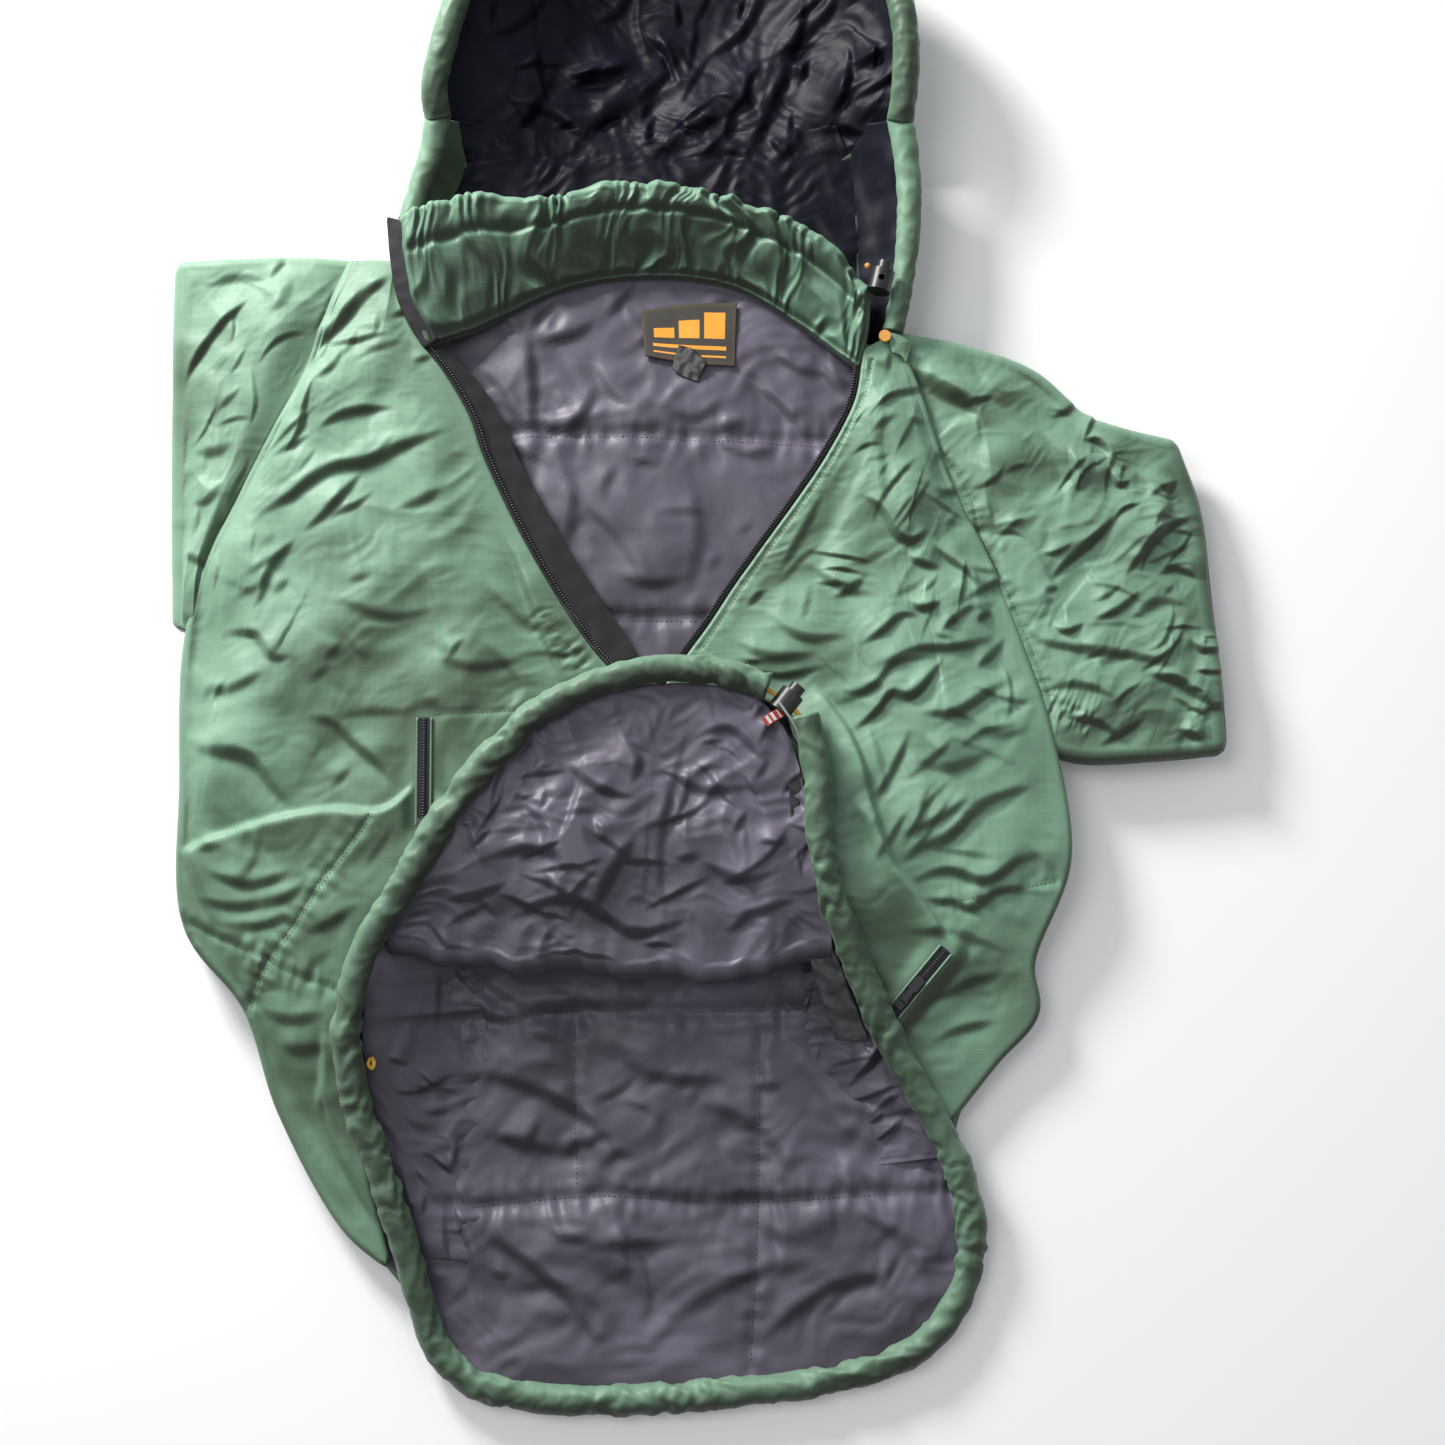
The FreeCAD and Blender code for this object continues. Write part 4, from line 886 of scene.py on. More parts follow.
# layer beside the hem channel, with its puffed free edge
step(GL, [(889, 1020), (921, 988), (945, 957), (942, 930), (921, 897), (894, 865), (882, 838), (871, 801), (862, 765), (848, 732), (830, 706), (812, 684)], 7.5, 2.6, 40.0, ends=0.08)
creases(GL, [
    (4.4, 4.5, [(948, 653), (910, 700), (891, 696), (878, 712), (843, 739)]), (2.6, 4, [(848, 691), (875, 686), (891, 669), (937, 656)]),
    (4.2, 6, [(913, 712), (948, 717), (996, 688), (1020, 675)]), (2.6, 5, [(873, 806), (899, 758), (910, 728)]), (2.0, 5, [(921, 734), (953, 785)]),
    (3.0, 5, [(897, 838), (921, 828), (948, 814), (972, 793)]), (4.6, 7, [(897, 868), (921, 848), (948, 838), (982, 806), (1017, 790), (1040, 786)]),
    (3.8, 5, [(905, 884), (948, 870), (988, 881), (1020, 860), (1050, 852)]), (3.4, 5, [(910, 897), (956, 903), (974, 908), (1001, 891), (1060, 893)]),
    (4.4, 5, [(858, 496), (880, 514), (895, 539), (910, 545), (931, 531)]), (3.8, 4, [(929, 545), (947, 560), (969, 576), (976, 590)]),
    (2.6, 4, [(904, 557), (920, 566), (943, 570)]), (3.0, 4, [(905, 601), (920, 612), (943, 604)]), (3.4, 4.5, [(856, 650), (880, 637), (901, 619), (922, 619)]),
    (2.8, 4, [(938, 637), (956, 619), (977, 604)]), (3.4, 4, [(976, 623), (993, 609)]), (3.0, 5, [(868, 676), (914, 654), (963, 648), (1007, 632)]),
    (3.6, 5, [(973, 670), (990, 658), (1007, 635)]), (2.6, 4, [(838, 692), (858, 695), (885, 685)]),
    (2.4, 6, [(800, 560), (840, 590), (880, 600)]), (2.2, 6, [(760, 610), (800, 640), (850, 640)]), (2.2, 6, [(730, 640), (770, 660), (820, 655)]),
    (2.4, 5, [(900, 930), (960, 935), (1010, 950)]), (2.2, 5, [(925, 1005), (965, 985), (1010, 970)]), (2.4, 5, [(930, 1045), (960, 1030), (1005, 1020)]),
    (2.2, 5, [(850, 800), (868, 830), (880, 870)]), (2.0, 6, [(905, 760), (950, 770), (1000, 745)]), (2.0, 6, [(960, 720), (1000, 735), (1035, 725)])])
for a, w, pts in [(2.0, 6, [(886, 386), (877, 441), (858, 487)]), (1.6, 5, [(866, 720), (880, 762), (886, 800)]), (1.8, 6, [(905, 745), (935, 790), (950, 830)]),
                  (1.5, 5, [(830, 480), (800, 540), (770, 590)]), (1.6, 6, [(880, 440), (882, 480), (884, 514)])]:
    crease(GL, pts, a, w, side=-1)
step(GL, [(893, 372), (884, 395), (876, 441), (856, 490), (842, 516)], 2.6, 4.0, 40.0, ends=0.3)
swell(GL, 33, 58.0, 5.2, edge_mask(NU, NV, 26))
scatter(GL, 34, 54, 0.45, 0.9, (18, 66), 1.5, 3.2)
GL = buckle(GL, 4.5, 1.05, cap=5.0, down=3.0)
crumple(GL, 31, 24.0, 1.5, 0.35, 2.2, mk * 0.8)
crumple(GL, 32, 11.0, 0.55, 0.4, 2.2, mk)
seam_line(GL, [(872, 362), (862, 402), (834, 457), (804, 502), (764, 557), (739, 592), (716, 627), (700, 650)], depth=0.8, w=1.6, pucker=0.5, pitch=6.0, reach=6.0)
seam_line(GL, [(1062, 880), (1000, 892), (940, 905)], depth=1.0, w=2.0, pucker=1.2, pitch=7.0, reach=9.0)
ZIP_L = [(946, 950, 38), (890, 1018, 32)]
sink(GL, ZIP_L, 1.0, 5.0, 17.0)
pan_l = quilt("front_panel_left", GL, 8.8, (GREEN, LINING), r={"l": 2.0, "r": 4.2, "t": 3.0, "b": 3.0}, base=base_l)
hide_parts("left_front_shell", "left_front_insulation", "left_front_lining")

# ---- image-left front (the wearer's right)
RF_INNER = [(393, 264, 46), (398, 300, 46), (412, 335, 46), (442, 375, 46), (468, 420, 46), (480, 455, 46), (505, 510, 45.5), (540, 575, 44.5), (578, 635, 43.5), (605, 668, 43), (643, 700, 43)]
RF_OUTER = [(352, 264, 40), (302, 385, 42), (250, 480, 40), (207, 572, 38), (188, 645, 36), (184, 780, 35), (188, 925, 33), (247, 1006, 27), (282, 1110, 20.5), (345, 1225, 19.5), (385, 1262, 19.2)]
RF_TOP = [(393, 264, 46), (372, 263, 43), (352, 264, 40)]
RF_BOT = [(643, 700, 43), (600, 697, 43), (545, 718, 43), (490, 762, 43), (445, 822, 44), (405, 888, 45), (362, 957, 43), (345, 1030, 37), (352, 1105, 27), (366, 1185, 20.5), (385, 1262, 19.2)]
NU, NV = num(196), num(222)
GR = coons(W(RF_BOT[::-1]), W(RF_TOP[::-1]), W(RF_OUTER[::-1]), W(RF_INNER[::-1]), NU, NV)
base_r = GR.copy()
mk = edge_mask(NU, NV, 9)
GR[..., 2] += 3.0 * edge_mask(NU, NV, 45)
# raised lower layer with its folded upper edge
step(GR, [(420, 778), (413, 788), (384, 811), (333, 810), (272, 821), (211, 838), (176, 853)], 6.5, 2.4, 55.0, ends=0.05)
creases(GR, [
    (5.5, 8, [(400, 276), (366, 298), (341, 326), (317, 350), (297, 372), (289, 397)]), (4.2, 5, [(280, 402), (265, 430), (246, 473), (228, 515), (211, 558)]),
    (2.6, 3.5, [(317, 381), (308, 411), (305, 430), (286, 460)]), (2.8, 5, [(400, 411), (366, 414), (341, 421), (317, 436)]),
    (5.0, 7, [(462, 428), (433, 439), (403, 451), (366, 467), (341, 470), (317, 482), (292, 500), (268, 515), (250, 534)]),
    (3.4, 4.5, [(366, 470), (341, 503), (323, 522), (302, 537)]), (2.8, 4, [(302, 540), (283, 558), (268, 586), (265, 601), (254, 612)]),
    (1.8, 5, [(292, 580), (277, 598)]), (3.2, 4, [(220, 635), (259, 639), (277, 662), (304, 660)]), (2.4, 6, [(198, 704), (212, 690), (231, 693), (273, 674)]),
    (2.2, 6, [(395, 512), (420, 506), (447, 490)]), (4.6, 7, [(180, 740), (211, 752), (252, 761), (276, 790), (299, 815)]), (3.2, 5, [(303, 720), (333, 724), (354, 745), (382, 769), (401, 792)]),
    (2.8, 5, [(186, 896), (231, 906), (292, 896), (315, 870)]), (2.6, 5, [(200, 870), (250, 885), (300, 872)]), (2.4, 4, [(215, 925), (260, 925), (300, 912)]),
    (2.2, 4, [(300, 935), (330, 925), (360, 905)]), (2.0, 5, [(480, 580), (520, 620), (560, 640)]), (2.0, 6, [(330, 600), (390, 620), (440, 610)]),
    (1.8, 6, [(430, 660), (480, 670), (530, 660)]), (2.4, 5, [(255, 1010), (290, 1020), (325, 1012)]), (2.2, 5, [(270, 1045), (300, 1050), (330, 1044)]),
    (1.8, 6, [(480, 640), (520, 690), (500, 720)])])
for a, w, pts in [(2.6, 5, [(321, 1020), (318, 1067), (308, 1120)]), (2.6, 5, [(313, 1067), (329, 1141), (350, 1190), (380, 1240)]), (2.0, 4.5, [(345, 1067), (352, 1133), (368, 1185)]),
                  (1.5, 4, [(341, 632), (355, 648), (369, 665)]), (3.4, 4.5, [(497, 526), (515, 560), (529, 601), (545, 645), (562, 690)]), (1.6, 6, [(420, 560), (440, 620), (445, 680)])]:
    crease(GR, pts, a, w, side=1)
swell(GR, 43, 62.0, 5.6, edge_mask(NU, NV, 26))
scatter(GR, 44, 34, 0.75, 0.7, (18, 70), 1.2, 3.6)
GR = buckle(GR, 4.5, 1.04, cap=5.0, down=3.0)
crumple(GR, 41, 28.0, 1.3, 0.5, 2.2, mk * 0.8)
crumple(GR, 42, 12.0, 0.5, 0.4, 2.2, mk)
seam_line(GR, [(374, 816), (345, 855), (325, 880), (292, 929), (272, 953), (252, 986), (243, 1010)], depth=1.3, w=2.2, pucker=1.6, pitch=7.0, reach=11.0)
seam_line(GR, [(176, 917), (215, 937), (252, 953), (292, 973), (338, 990)], depth=1.3, w=2.2, pucker=1.4, pitch=7.0, reach=9.0)
seam_line(GR, [(434, 716), (470, 714), (522, 711)], depth=0.8, w=1.8, pucker=0.3)
seam_line(GR, [(540, 612), (560, 640), (585, 668)], depth=0.6, w=1.8, pucker=1.8, pitch=5.0, reach=8.0)
ZIP_R = [(424.5, 718, 46), (423.5, 826, 46)]
sink(GR, ZIP_R, 1.0, 5.0, 15.0)
pan_r = quilt("front_panel_right", GR, 8.8, (GREEN, LINING), r={"r": 2.0, "l": 4.2, "t": 3.0, "b": 3.0}, base=base_r)
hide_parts("right_front_shell", "right_front_insulation", "right_front_lining")

# ================================================================ sleeves
LS_SEAM = [(897, 337, 40), (919, 390, 42), (949, 480, 40), (989, 562, 38), (1024, 650, 37), (1054, 742, 36)]
LS_FOLD = [(1168, 446, 34.5), (1190, 510, 34.5), (1201, 600, 34.5), (1211, 680, 34.5), (1216, 742, 34.5)]
LS_SHO = [(897, 337, 40), (960, 352, 36), (1030, 376, 35), (1088, 424, 34.5), (1168, 446, 34.5)]
LS_UND = [(1054, 742, 36), (1085, 750, 35), (1150, 748, 34.5), (1216, 742, 34.5)]
NU, NV = num(170), num(210)
GS = coons(W(LS_UND), W(LS_SHO), W(LS_SEAM[::-1]), W(LS_FOLD[::-1]), NU, NV)
base_s = GS.copy()
base_s[..., 2] = 34.3
mk = edge_mask(NU, NV, 8)
GS[..., 2] = np.minimum(GS[..., 2], 37.5) - 3.0 + 6.5 * edge_mask(NU, NV, 45)
creases(GS, [
    (5.5, 9, [(898, 356), (920, 375), (947, 393), (972, 407), (983, 432)]), (3.4, 4, [(1067, 444), (1073, 471), (1076, 489), (1084, 484)]),
    (3.6, 4.5, [(1080, 440), (1097, 438), (1110, 453), (1106, 463)]), (3.4, 4, [(1106, 462), (1119, 485), (1133, 478)]),
    (4.4, 5.5, [(1046, 584), (1070, 560), (1094, 539), (1121, 512)]), (5.0, 6, [(1123, 578), (1146, 551), (1165, 530), (1198, 512)]),
    (3.0, 4, [(1163, 575), (1177, 566), (1203, 577)]), (3.8, 4, [(1050, 624), (1067, 632), (1087, 621)]), (3.6, 5, [(1092, 620), (1116, 612), (1142, 590)]),
    (3.0, 6, [(1024, 612), (1036, 637), (1067, 646), (1110, 652), (1146, 658), (1188, 669)]), (5.0, 6, [(1144, 673), (1177, 680), (1201, 695), (1224, 710)]),
    (3.2, 4, [(1180, 727), (1207, 739)]), (2.8, 4, [(1192, 636), (1204, 649), (1217, 646)]), (2.0, 5, [(1013, 363), (1036, 377), (1063, 403)]),
    (3.0, 5, [(1060, 585), (1048, 592), (1056, 596)]), (2.4, 5, [(1040, 690), (1080, 684), (1120, 700)]), (2.6, 4, [(1062, 715), (1100, 722), (1130, 742)]),
    (2.4, 4, [(1100, 745), (1130, 728), (1150, 715)]), (2.4, 5, [(1150, 480), (1170, 500), (1160, 530)]), (2.2, 5, [(1135, 470), (1150, 490), (1142, 500)]),
    (2.4, 5, [(1080, 640), (1095, 655), (1100, 668)]), (2.0, 6, [(1130, 620), (1160, 600), (1195, 605)])])
for a, w, pts in [(2.0, 7, [(972, 355), (993, 392), (1012, 412)]), (2.4, 7, [(1036, 422), (1061, 459), (1067, 498), (1060, 520)]), (2.6, 4, [(978, 414), (984, 453), (987, 496), (995, 523)]),
                  (1.8, 5, [(1000, 530), (1000, 575), (1012, 612)])]:
    crease(GS, pts, a, w, side=1)
step(GS, [(995, 525), (987, 496), (984, 453), (976, 410)], 3.0, 2.0, 30.0, ends=0.1)
swell(GS, 53, 46.0, 4.2, edge_mask(NU, NV, 24))
scatter(GS, 54, 44, 0.5, 0.9, (16, 48), 1.5, 3.0)
GS = buckle(GS, 4.5, 1.05, cap=5.0, down=3.0)
crumple(GS, 51, 22.0, 1.4, 0.7, 2.0, mk)
crumple(GS, 52, 10.0, 0.6, 0.6, 2.0, mk)
seam_line(GS, [(1054, 700), (1075, 708), (1095, 716)], depth=0.6, w=2.0, pucker=2.2, pitch=5.0, reach=10.0)
seam_line(GS, [(903, 372), (912, 400), (922, 428), (954, 466), (972, 498), (980, 530), (998, 568), (1018, 612), (1036, 655), (1052, 694)], depth=1.4, w=2.0, pucker=0.7, pitch=6.0, reach=7.0)
sl = quilt("sleeve_left", GS, 19.5, (GREEN, GREEN), r={"r": 9.6, "l": 5.0, "t": 8.0, "b": 8.0}, base=base_s)
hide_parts("left_sleeve_shell", "left_sleeve_insulation", "left_sleeve_lining")

RS_SEAM = [(348, 264, 40), (298, 385, 42), (246, 480, 40), (203, 572, 38), (192, 630, 36)]
RS_FOLD = [(184, 266, 35), (182, 380, 35), (181, 500, 35), (182, 626, 35)]
NU, NV = num(110), num(190)
GT = coons(W([(182, 626, 35), (187, 628, 35.5), (192, 630, 36)]), W([(184, 266, 35), (240, 264, 35.5), (300, 262, 37), (348, 264, 40)]),
           W(RS_FOLD[::-1]), W(RS_SEAM[::-1]), NU, NV)
base_t = GT.copy()
base_t[..., 2] = 34.3
GT[..., 2] = np.minimum(GT[..., 2], 37.5) - 2.0 + 5.5 * edge_mask(NU, NV, 36)
mk = edge_mask(NU, NV, 8)
creases(GT, [(3.4, 4.5, [(182, 390), (188, 369), (216, 329), (252, 293)]), (2.8, 5, [(180, 553), (195, 560), (208, 566)]), (2.0, 7, [(190, 450), (215, 452), (236, 440)]),
             (1.8, 7, [(270, 315), (285, 300), (292, 275)]), (2.0, 6, [(200, 285), (235, 275), (270, 280)]), (1.8, 6, [(190, 505), (210, 500), (225, 480)])])
swell(GT, 63, 50.0, 3.0, mk)
scatter(GT, 64, 12, 0.9, 0.5, (18, 50), 1.3, 3.2)
crumple(GT, 61, 26.0, 1.0, 0.9, 2.0, mk)
crumple(GT, 62, 11.0, 0.4, 0.9, 2.0, mk)
sr = quilt("sleeve_right", GT, 19.5, (GREEN, GREEN), r={"r": 5.0, "l": 9.0, "t": 6.0, "b": 2.0}, base=base_t)
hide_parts("right_sleeve_shell", "right_sleeve_insulation", "right_sleeve_lining")


def flat_arm(name, a, b, wa, wb, cuff_len, zc, nodes, cuff_nodes, seed):
    """Flattened forearm and its gathered cuff, folded under the body."""
    a, b = np.array(a, float) + SHIFT, np.array(b, float) + SHIFT
    a[2] = b[2] = zc + SHIFT[2]
    d = (b - a)
    length = np.linalg.norm(d)
    d /= length
    q = np.array([-d[1], d[0], 0])

    def body_of(nm, s0, s1, w0, w1, hh, puck, mat):
        n, k = num(90), 56
        s = np.linspace(s0, s1, n)[:, None]
        th = np.linspace(0, 2 * np.pi, k, endpoint=False)[None]
        w = (w0 + (w1 - w0) * (s - s0) / (s1 - s0)) / 2.0
        c, si = np.cos(th), np.sin(th)
        ex = np.sign(c) * np.abs(c) ** 0.55
        ez = np.sign(si) * np.abs(si) ** 0.8
        bump = 1 + puck * perlin(s / 7.0 + 0 * th, th * 3.0, seed)
        V = a[None, None] + d[None, None] * s[..., None] + q * (w * ex)[..., None]
        V[..., 2] += hh / 2.0 * ez * np.clip(bump, 0.8, 1.0)
        Vi = a[None, None] + d[None, None] * s[..., None] + q * ((w - 4.0) * ex)[..., None]
        Vi[..., 2] += (hh / 2.0 - 3.4) * ez
        verts = np.vstack([V.reshape(-1, 3), Vi.reshape(-1, 3)])
        faces, idx, off = [], [], n * k
        for i in range(n - 1):
            for j in range(k):
                p0, p1, p2, p3 = i * k + j, i * k + (j + 1) % k, (i + 1) * k + (j + 1) % k, (i + 1) * k + j
                faces.append((p0, p1, p2, p3))
                idx.append(0)
                faces.append((off + p3, off + p2, off + p1, off + p0))
                idx.append(1)
        for i, fl in ((0, False), (n - 1, True)):
            for j in range(k):
                f = (i * k + j, off + i * k + j, off + i * k + (j + 1) % k, i * k + (j + 1) % k)
                faces.append(tuple(reversed(f)) if fl else f)
                idx.append(0)
        return new_mesh(nm, verts, faces, [mat, LINING], idx)
    wm = wa + (wb - wa) * (length - cuff_len) / length
    o1 = body_of(name + "_forearm_cloth", 0, length - cuff_len - 0.4, wa, wm, 13.4, 0.10, GREEN)
    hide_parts(*nodes)
    o2 = body_of(name + "_cuff_cloth", length - cuff_len, length, wm + 0.5, wb - 6.0, 13.2, 0.16, GREEN)
    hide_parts(*cuff_nodes)
    return o1, o2


arm_l = flat_arm("left", (318, 20, 7.2), (16, -54, 7.2), 150.0, 104.0, 34.0, 7.2, ["left_lower_sleeve"], ["left_cuff"], 71)
arm_r = flat_arm("right", (-346, 150, 7.2), (140, 150, 7.2), 118.0, 100.0, 34.0, 7.2, ["right_lower_sleeve"], ["right_cuff"], 73)


# ================================================================ turned-up front, lining out
SK_S = [(457, 838, 43), (499, 778, 43), (552, 733, 43), (604, 712, 43), (652, 711, 43), (702, 706, 43), (752, 711, 43), (788, 736, 43), (803, 752, 43)]
SK_F = [(388, 936, 43), (452, 948, 43), (530, 954, 43), (590, 956, 43), (650, 957, 43), (710, 957, 43), (760, 954, 43), (800, 949, 43), (832, 940, 43)]
SK_E = [(454, 818, 52), (498, 762, 52), (548, 721, 52), (606, 696, 52), (662, 686, 52), (714, 688, 52), (758, 702, 52), (786, 734, 52), (799, 770, 52)]
NU = num(210)
S_, F_, E_ = spread(W(SK_S), NU), spread(W(SK_F), NU), spread(W(SK_E), NU)
n_up, n_half, n_low = num(130), num(26), num(40)


def wrap(z_up, z_low, e_in, s_in):
    """Rows of points down the upper arm, round the fold and up the lower arm."""
    rows = []
    zc, r = (z_up + z_low) / 2.0, (z_up - z_low) / 2.0
    for v in np.linspace(0, 1, n_up, endpoint=False):
        p = E_ * (1 - v) + F_ * v
        rows.append(np.stack([p[:, 0], p[:, 1], np.full(NU, z_up)], axis=1))
    for t in np.linspace(0, math.pi, n_half, endpoint=False):
        rows.append(np.stack([F_[:, 0], F_[:, 1] - r * math.sin(t), np.full(NU, zc + r * math.cos(t))], axis=1))
    for v in np.linspace(0, 1, n_low):
        p = F_ * (1 - v) + S_ * v
        rows.append(np.stack([p[:, 0], p[:, 1], np.full(NU, z_low)], axis=1))
    return np.array(rows)


OUTR = wrap(59.7, 34.4, 0, 0)
INR = wrap(51.6, 42.8, 0, 0)
for A_, lowest in ((OUTR, 35.0), (INR, 36.2)):
    vv_ = np.linspace(0, 1, n_up)
    A_[:n_up, :, 2] -= (9.0 if A_ is OUTR else 7.6) * smooth01((vv_ - 0.45) / 0.55)[:, None] ** 1.3
    top_z = A_[n_up - 1, 0, 2]
    zz = A_[n_up:n_up + n_half, :, 2]
    A_[n_up:n_up + n_half, :, 2] = lowest - 0.6 + (zz - zz.min()) / max(1e-6, zz.max() - zz.min()) * (top_z - lowest + 0.6)
UP = OUTR[:n_up + 1]
mk = edge_mask(NU, n_up + 1, 8, "blr")
creases(UP, [
    (3.4, 6, [(560, 760), (600, 790), (640, 800)]), (3.4, 7, [(480, 860), (540, 850), (600, 880)]), (4.2, 8, [(640, 830), (615, 870), (592, 915)]),
    (3.6, 7, [(650, 760), (700, 790), (760, 785)]), (4.0, 7, [(500, 920), (560, 900), (640, 930), (700, 915)]), (3.4, 6, [(700, 860), (740, 880), (780, 870)]),
    (3.2, 6, [(520, 800), (545, 830), (540, 860)]), (3.2, 6, [(690, 740), (730, 730), (770, 770)]), (3.4, 6, [(620, 730), (640, 760), (630, 790)]),
    (3.0, 6, [(440, 900), (480, 895), (510, 880)]), (3.0, 6, [(720, 930), (760, 910), (800, 900)]), (2.6, 5, [(580, 830), (610, 845), (640, 870)])], zref=59.0)
crease(UP, [(588, 740), (575, 800), (560, 860), (553, 905)], 2.6, 5, zref=59.0, side=1)
crease(UP, [(690, 720), (672, 790), (660, 860), (668, 930)], 2.2, 6, zref=59.0, side=-1)
swell(UP, 85, 44.0, 3.0, mk)
scatter(UP, 86, 60, 0.6, 1.6, (18, 60), 1.8, 3.4)
crumple(UP, 81, 27.0, 2.2, 0.9, 2.0, mk)
crumple(UP, 82, 13.0, 1.1, -0.3, 2.0, mk)
UP[..., 2] = np.clip(UP[..., 2], 38.0, 68.0)
# the turned edge is uneven
k0, k1 = n_up, n_up + n_half
lump = 8.0 * perlin(F_[:, 0] / 46.0, F_[:, 0] * 0 + 2.2, 83) + 2.6 * perlin(F_[:, 0] / 15.0, F_[:, 0] * 0 + 5.2, 84)
for k in range(int(n_up * 0.7), k1):
    wgt = smooth01((k - n_up * 0.7) / (n_up * 0.3)) * smooth01((k1 + 1 - k) / float(n_half * 0.6))
    OUTR[k, :, 1] += lump * wgt
    OUTR[k, :, 2] -= 3.0 * wgt * smooth01((lump + 3) / 6.0)
nr = OUTR.shape[0]
verts = np.vstack([OUTR.reshape(-1, 3), INR.reshape(-1, 3)])
faces, idx, off = [], [], nr * NU
for j in range(nr - 1):
    for i in range(NU - 1):
        a = j * NU + i
        faces.append((a, a + NU, a + NU + 1, a + 1))
        idx.append(0)
        faces.append((off + a, off + a + 1, off + a + NU + 1, off + a + NU))
        idx.append(1)
for j in range(nr - 1):
    for i, fl in ((0, True), (NU - 1, False)):
        a = j * NU + i
        f = (a, off + a, off + a + NU, a + NU)
        faces.append(tuple(reversed(f)) if not fl else f)
        idx.append(0)
for i in range(NU - 1):
    for j, fl in ((0, False), (nr - 1, True)):
        a = j * NU + i
        f = (a, a + 1, off + a + 1, off + a)
        faces.append(tuple(reversed(f)) if fl else f)
        idx.append(0)
skirt = new_mesh("turned_up_front", verts, faces, [LINING, GREEN], idx)
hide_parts("front_skirt_shell", "front_skirt_insulation", "front_skirt_lining")

# ---- linings beside the mouth and the facing strip
for nm, A, B, seed in (("mouth_lining_right", [(372, 946, 41), (366, 1000, 40), (363, 1035, 36), (373, 1105, 30), (399, 1180, 22), (424, 1256, 15)],
                        [(476, 932, 24.5), (480, 985, 23.5), (486, 1045, 19), (488, 1110, 14), (486, 1185, 12), (478, 1262, 11.8)], 91),
                       ("mouth_lining_left", [(852, 960, 38), (871, 1030, 27), (905, 1095, 20), (945, 1156, 15)],
                        [(782, 980, 24), (794, 1040, 19), (812, 1100, 13.5), (842, 1170, 11.2)], 92)):
    a_, b_ = spread(W(A), num(150)), spread(W(B), num(150))
    b_[:, 2] = height_on(GB[::3, ::3], b_[:, :2]) - 1.5
    v = np.linspace(0, 1, num(60))[:, None, None]
    g = a_[None] * (1 - v) + b_[None] * v
    g[..., 2] = b_[None, :, 2] + (a_[None, :, 2] - b_[None, :, 2]) * (1 - smooth01(v[..., 0] * 0.95 + 0.05)) ** 1.2
    mm = edge_mask(g.shape[1], g.shape[0], 6, "blr")
    scatter(g, seed, 26, -1.0 if seed == 91 else 1.0, 0.8, (16, 50), 1.6, 3.2)
    crumple(g, seed + 3, 18.0, 2.0, -0.9, 2.0, mm)
    o = quilt(nm, g, 1.0, (LINING, LINING))
    SHEETS.append((o, cut(g), "gathered", ["hem_channel", "back_lining"]))
facing, g = ribbon("mouth_facing", W([(808, 775, 58), (813, 850, 55), (822, 905, 48), (842, 970, 40), (868, 1040, 31)]),
                   W([(788, 765, 61), (794, 850, 58), (800, 905, 51), (812, 965, 42), (836, 1040, 30)]), 1.0, SATIN, n=num(120), m=8, amp=1.5, seed=93)
SHEETS.append((facing, cut(g), "laid", ["front_skirt_lining"]))

# ================================================================ hem channel
TUBE_A = [(345, 1030, 50), (362, 955, 57), (403, 886, 62), (443, 818, 65), (491, 757, 65.5), (543, 709, 66), (603, 681, 66), (660, 669, 66), (715, 671, 66), (768, 688, 66)]
TUBE_B = [(804, 716, 65.5), (816, 768, 64), (820, 830, 61), (831, 893, 54.5), (856, 962, 45.5), (885, 1028, 37.5), (918, 1090, 30.5), (951, 1150, 24), (970, 1215, 16), (967, 1277, 10.6), (936, 1332, 9.8), (883, 1367, 9.8),
          (808, 1384, 9.8), (720, 1393, 9.8), (620, 1400, 9.8), (530, 1397, 9.8), (470, 1380, 10.2), (436, 1346, 13.5), (420, 1298, 21), (404, 1243, 28), (383, 1178, 35), (356, 1103, 42), (345, 1030, 50)]
loop = np.vstack([dense(W(TUBE_B))[:-1], dense(W(TUBE_A))])
HEM = spread(loop, num(640), curve=False)
for _ in range(6):
    HEM[1:-1] = 0.5 * HEM[1:-1] + 0.25 * (HEM[:-2] + HEM[2:])
hem_len = np.linalg.norm(np.diff(HEM, axis=0), axis=1).sum()


def gathered(base, a1, a2, p1, p2, seed, tot, gain=None):
    """Radius of a drawn-in channel: two sets of puckers across it, their strength drifting along it."""
    def f(s, ph):
        w = perlin(s / 22.0, np.cos(ph) + 3.1, seed + 5) * 5.0
        n = ridged((s + w + 6.5 * np.sin(ph) + 3.0 * np.cos(ph)) / p1, np.cos(ph) * 0.5 + np.sin(ph) * 0.3, seed) - 0.5
        m = ridged((s + w - 3.0 * np.cos(ph)) / p2, np.sin(ph) * 0.8, seed + 1) - 0.5
        g = 0.55 + 0.9 * smooth01(perlin(s / 60.0, 0 * ph + 1.7, seed + 2) + 0.5)
        if gain is not None:
            g = g * gain(s)
        return np.clip(base + (a1 * n + a2 * m) * g, base - 3.4, base + 2.2)
    return f


hem = tube("hem_channel_gathered", HEM, gathered(8.7, 2.8, 1.1, 17.0, 7.0, 101, hem_len), [HEMGREEN_PAINTED_SHADE], ns=num(48))
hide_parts("hem_channel")

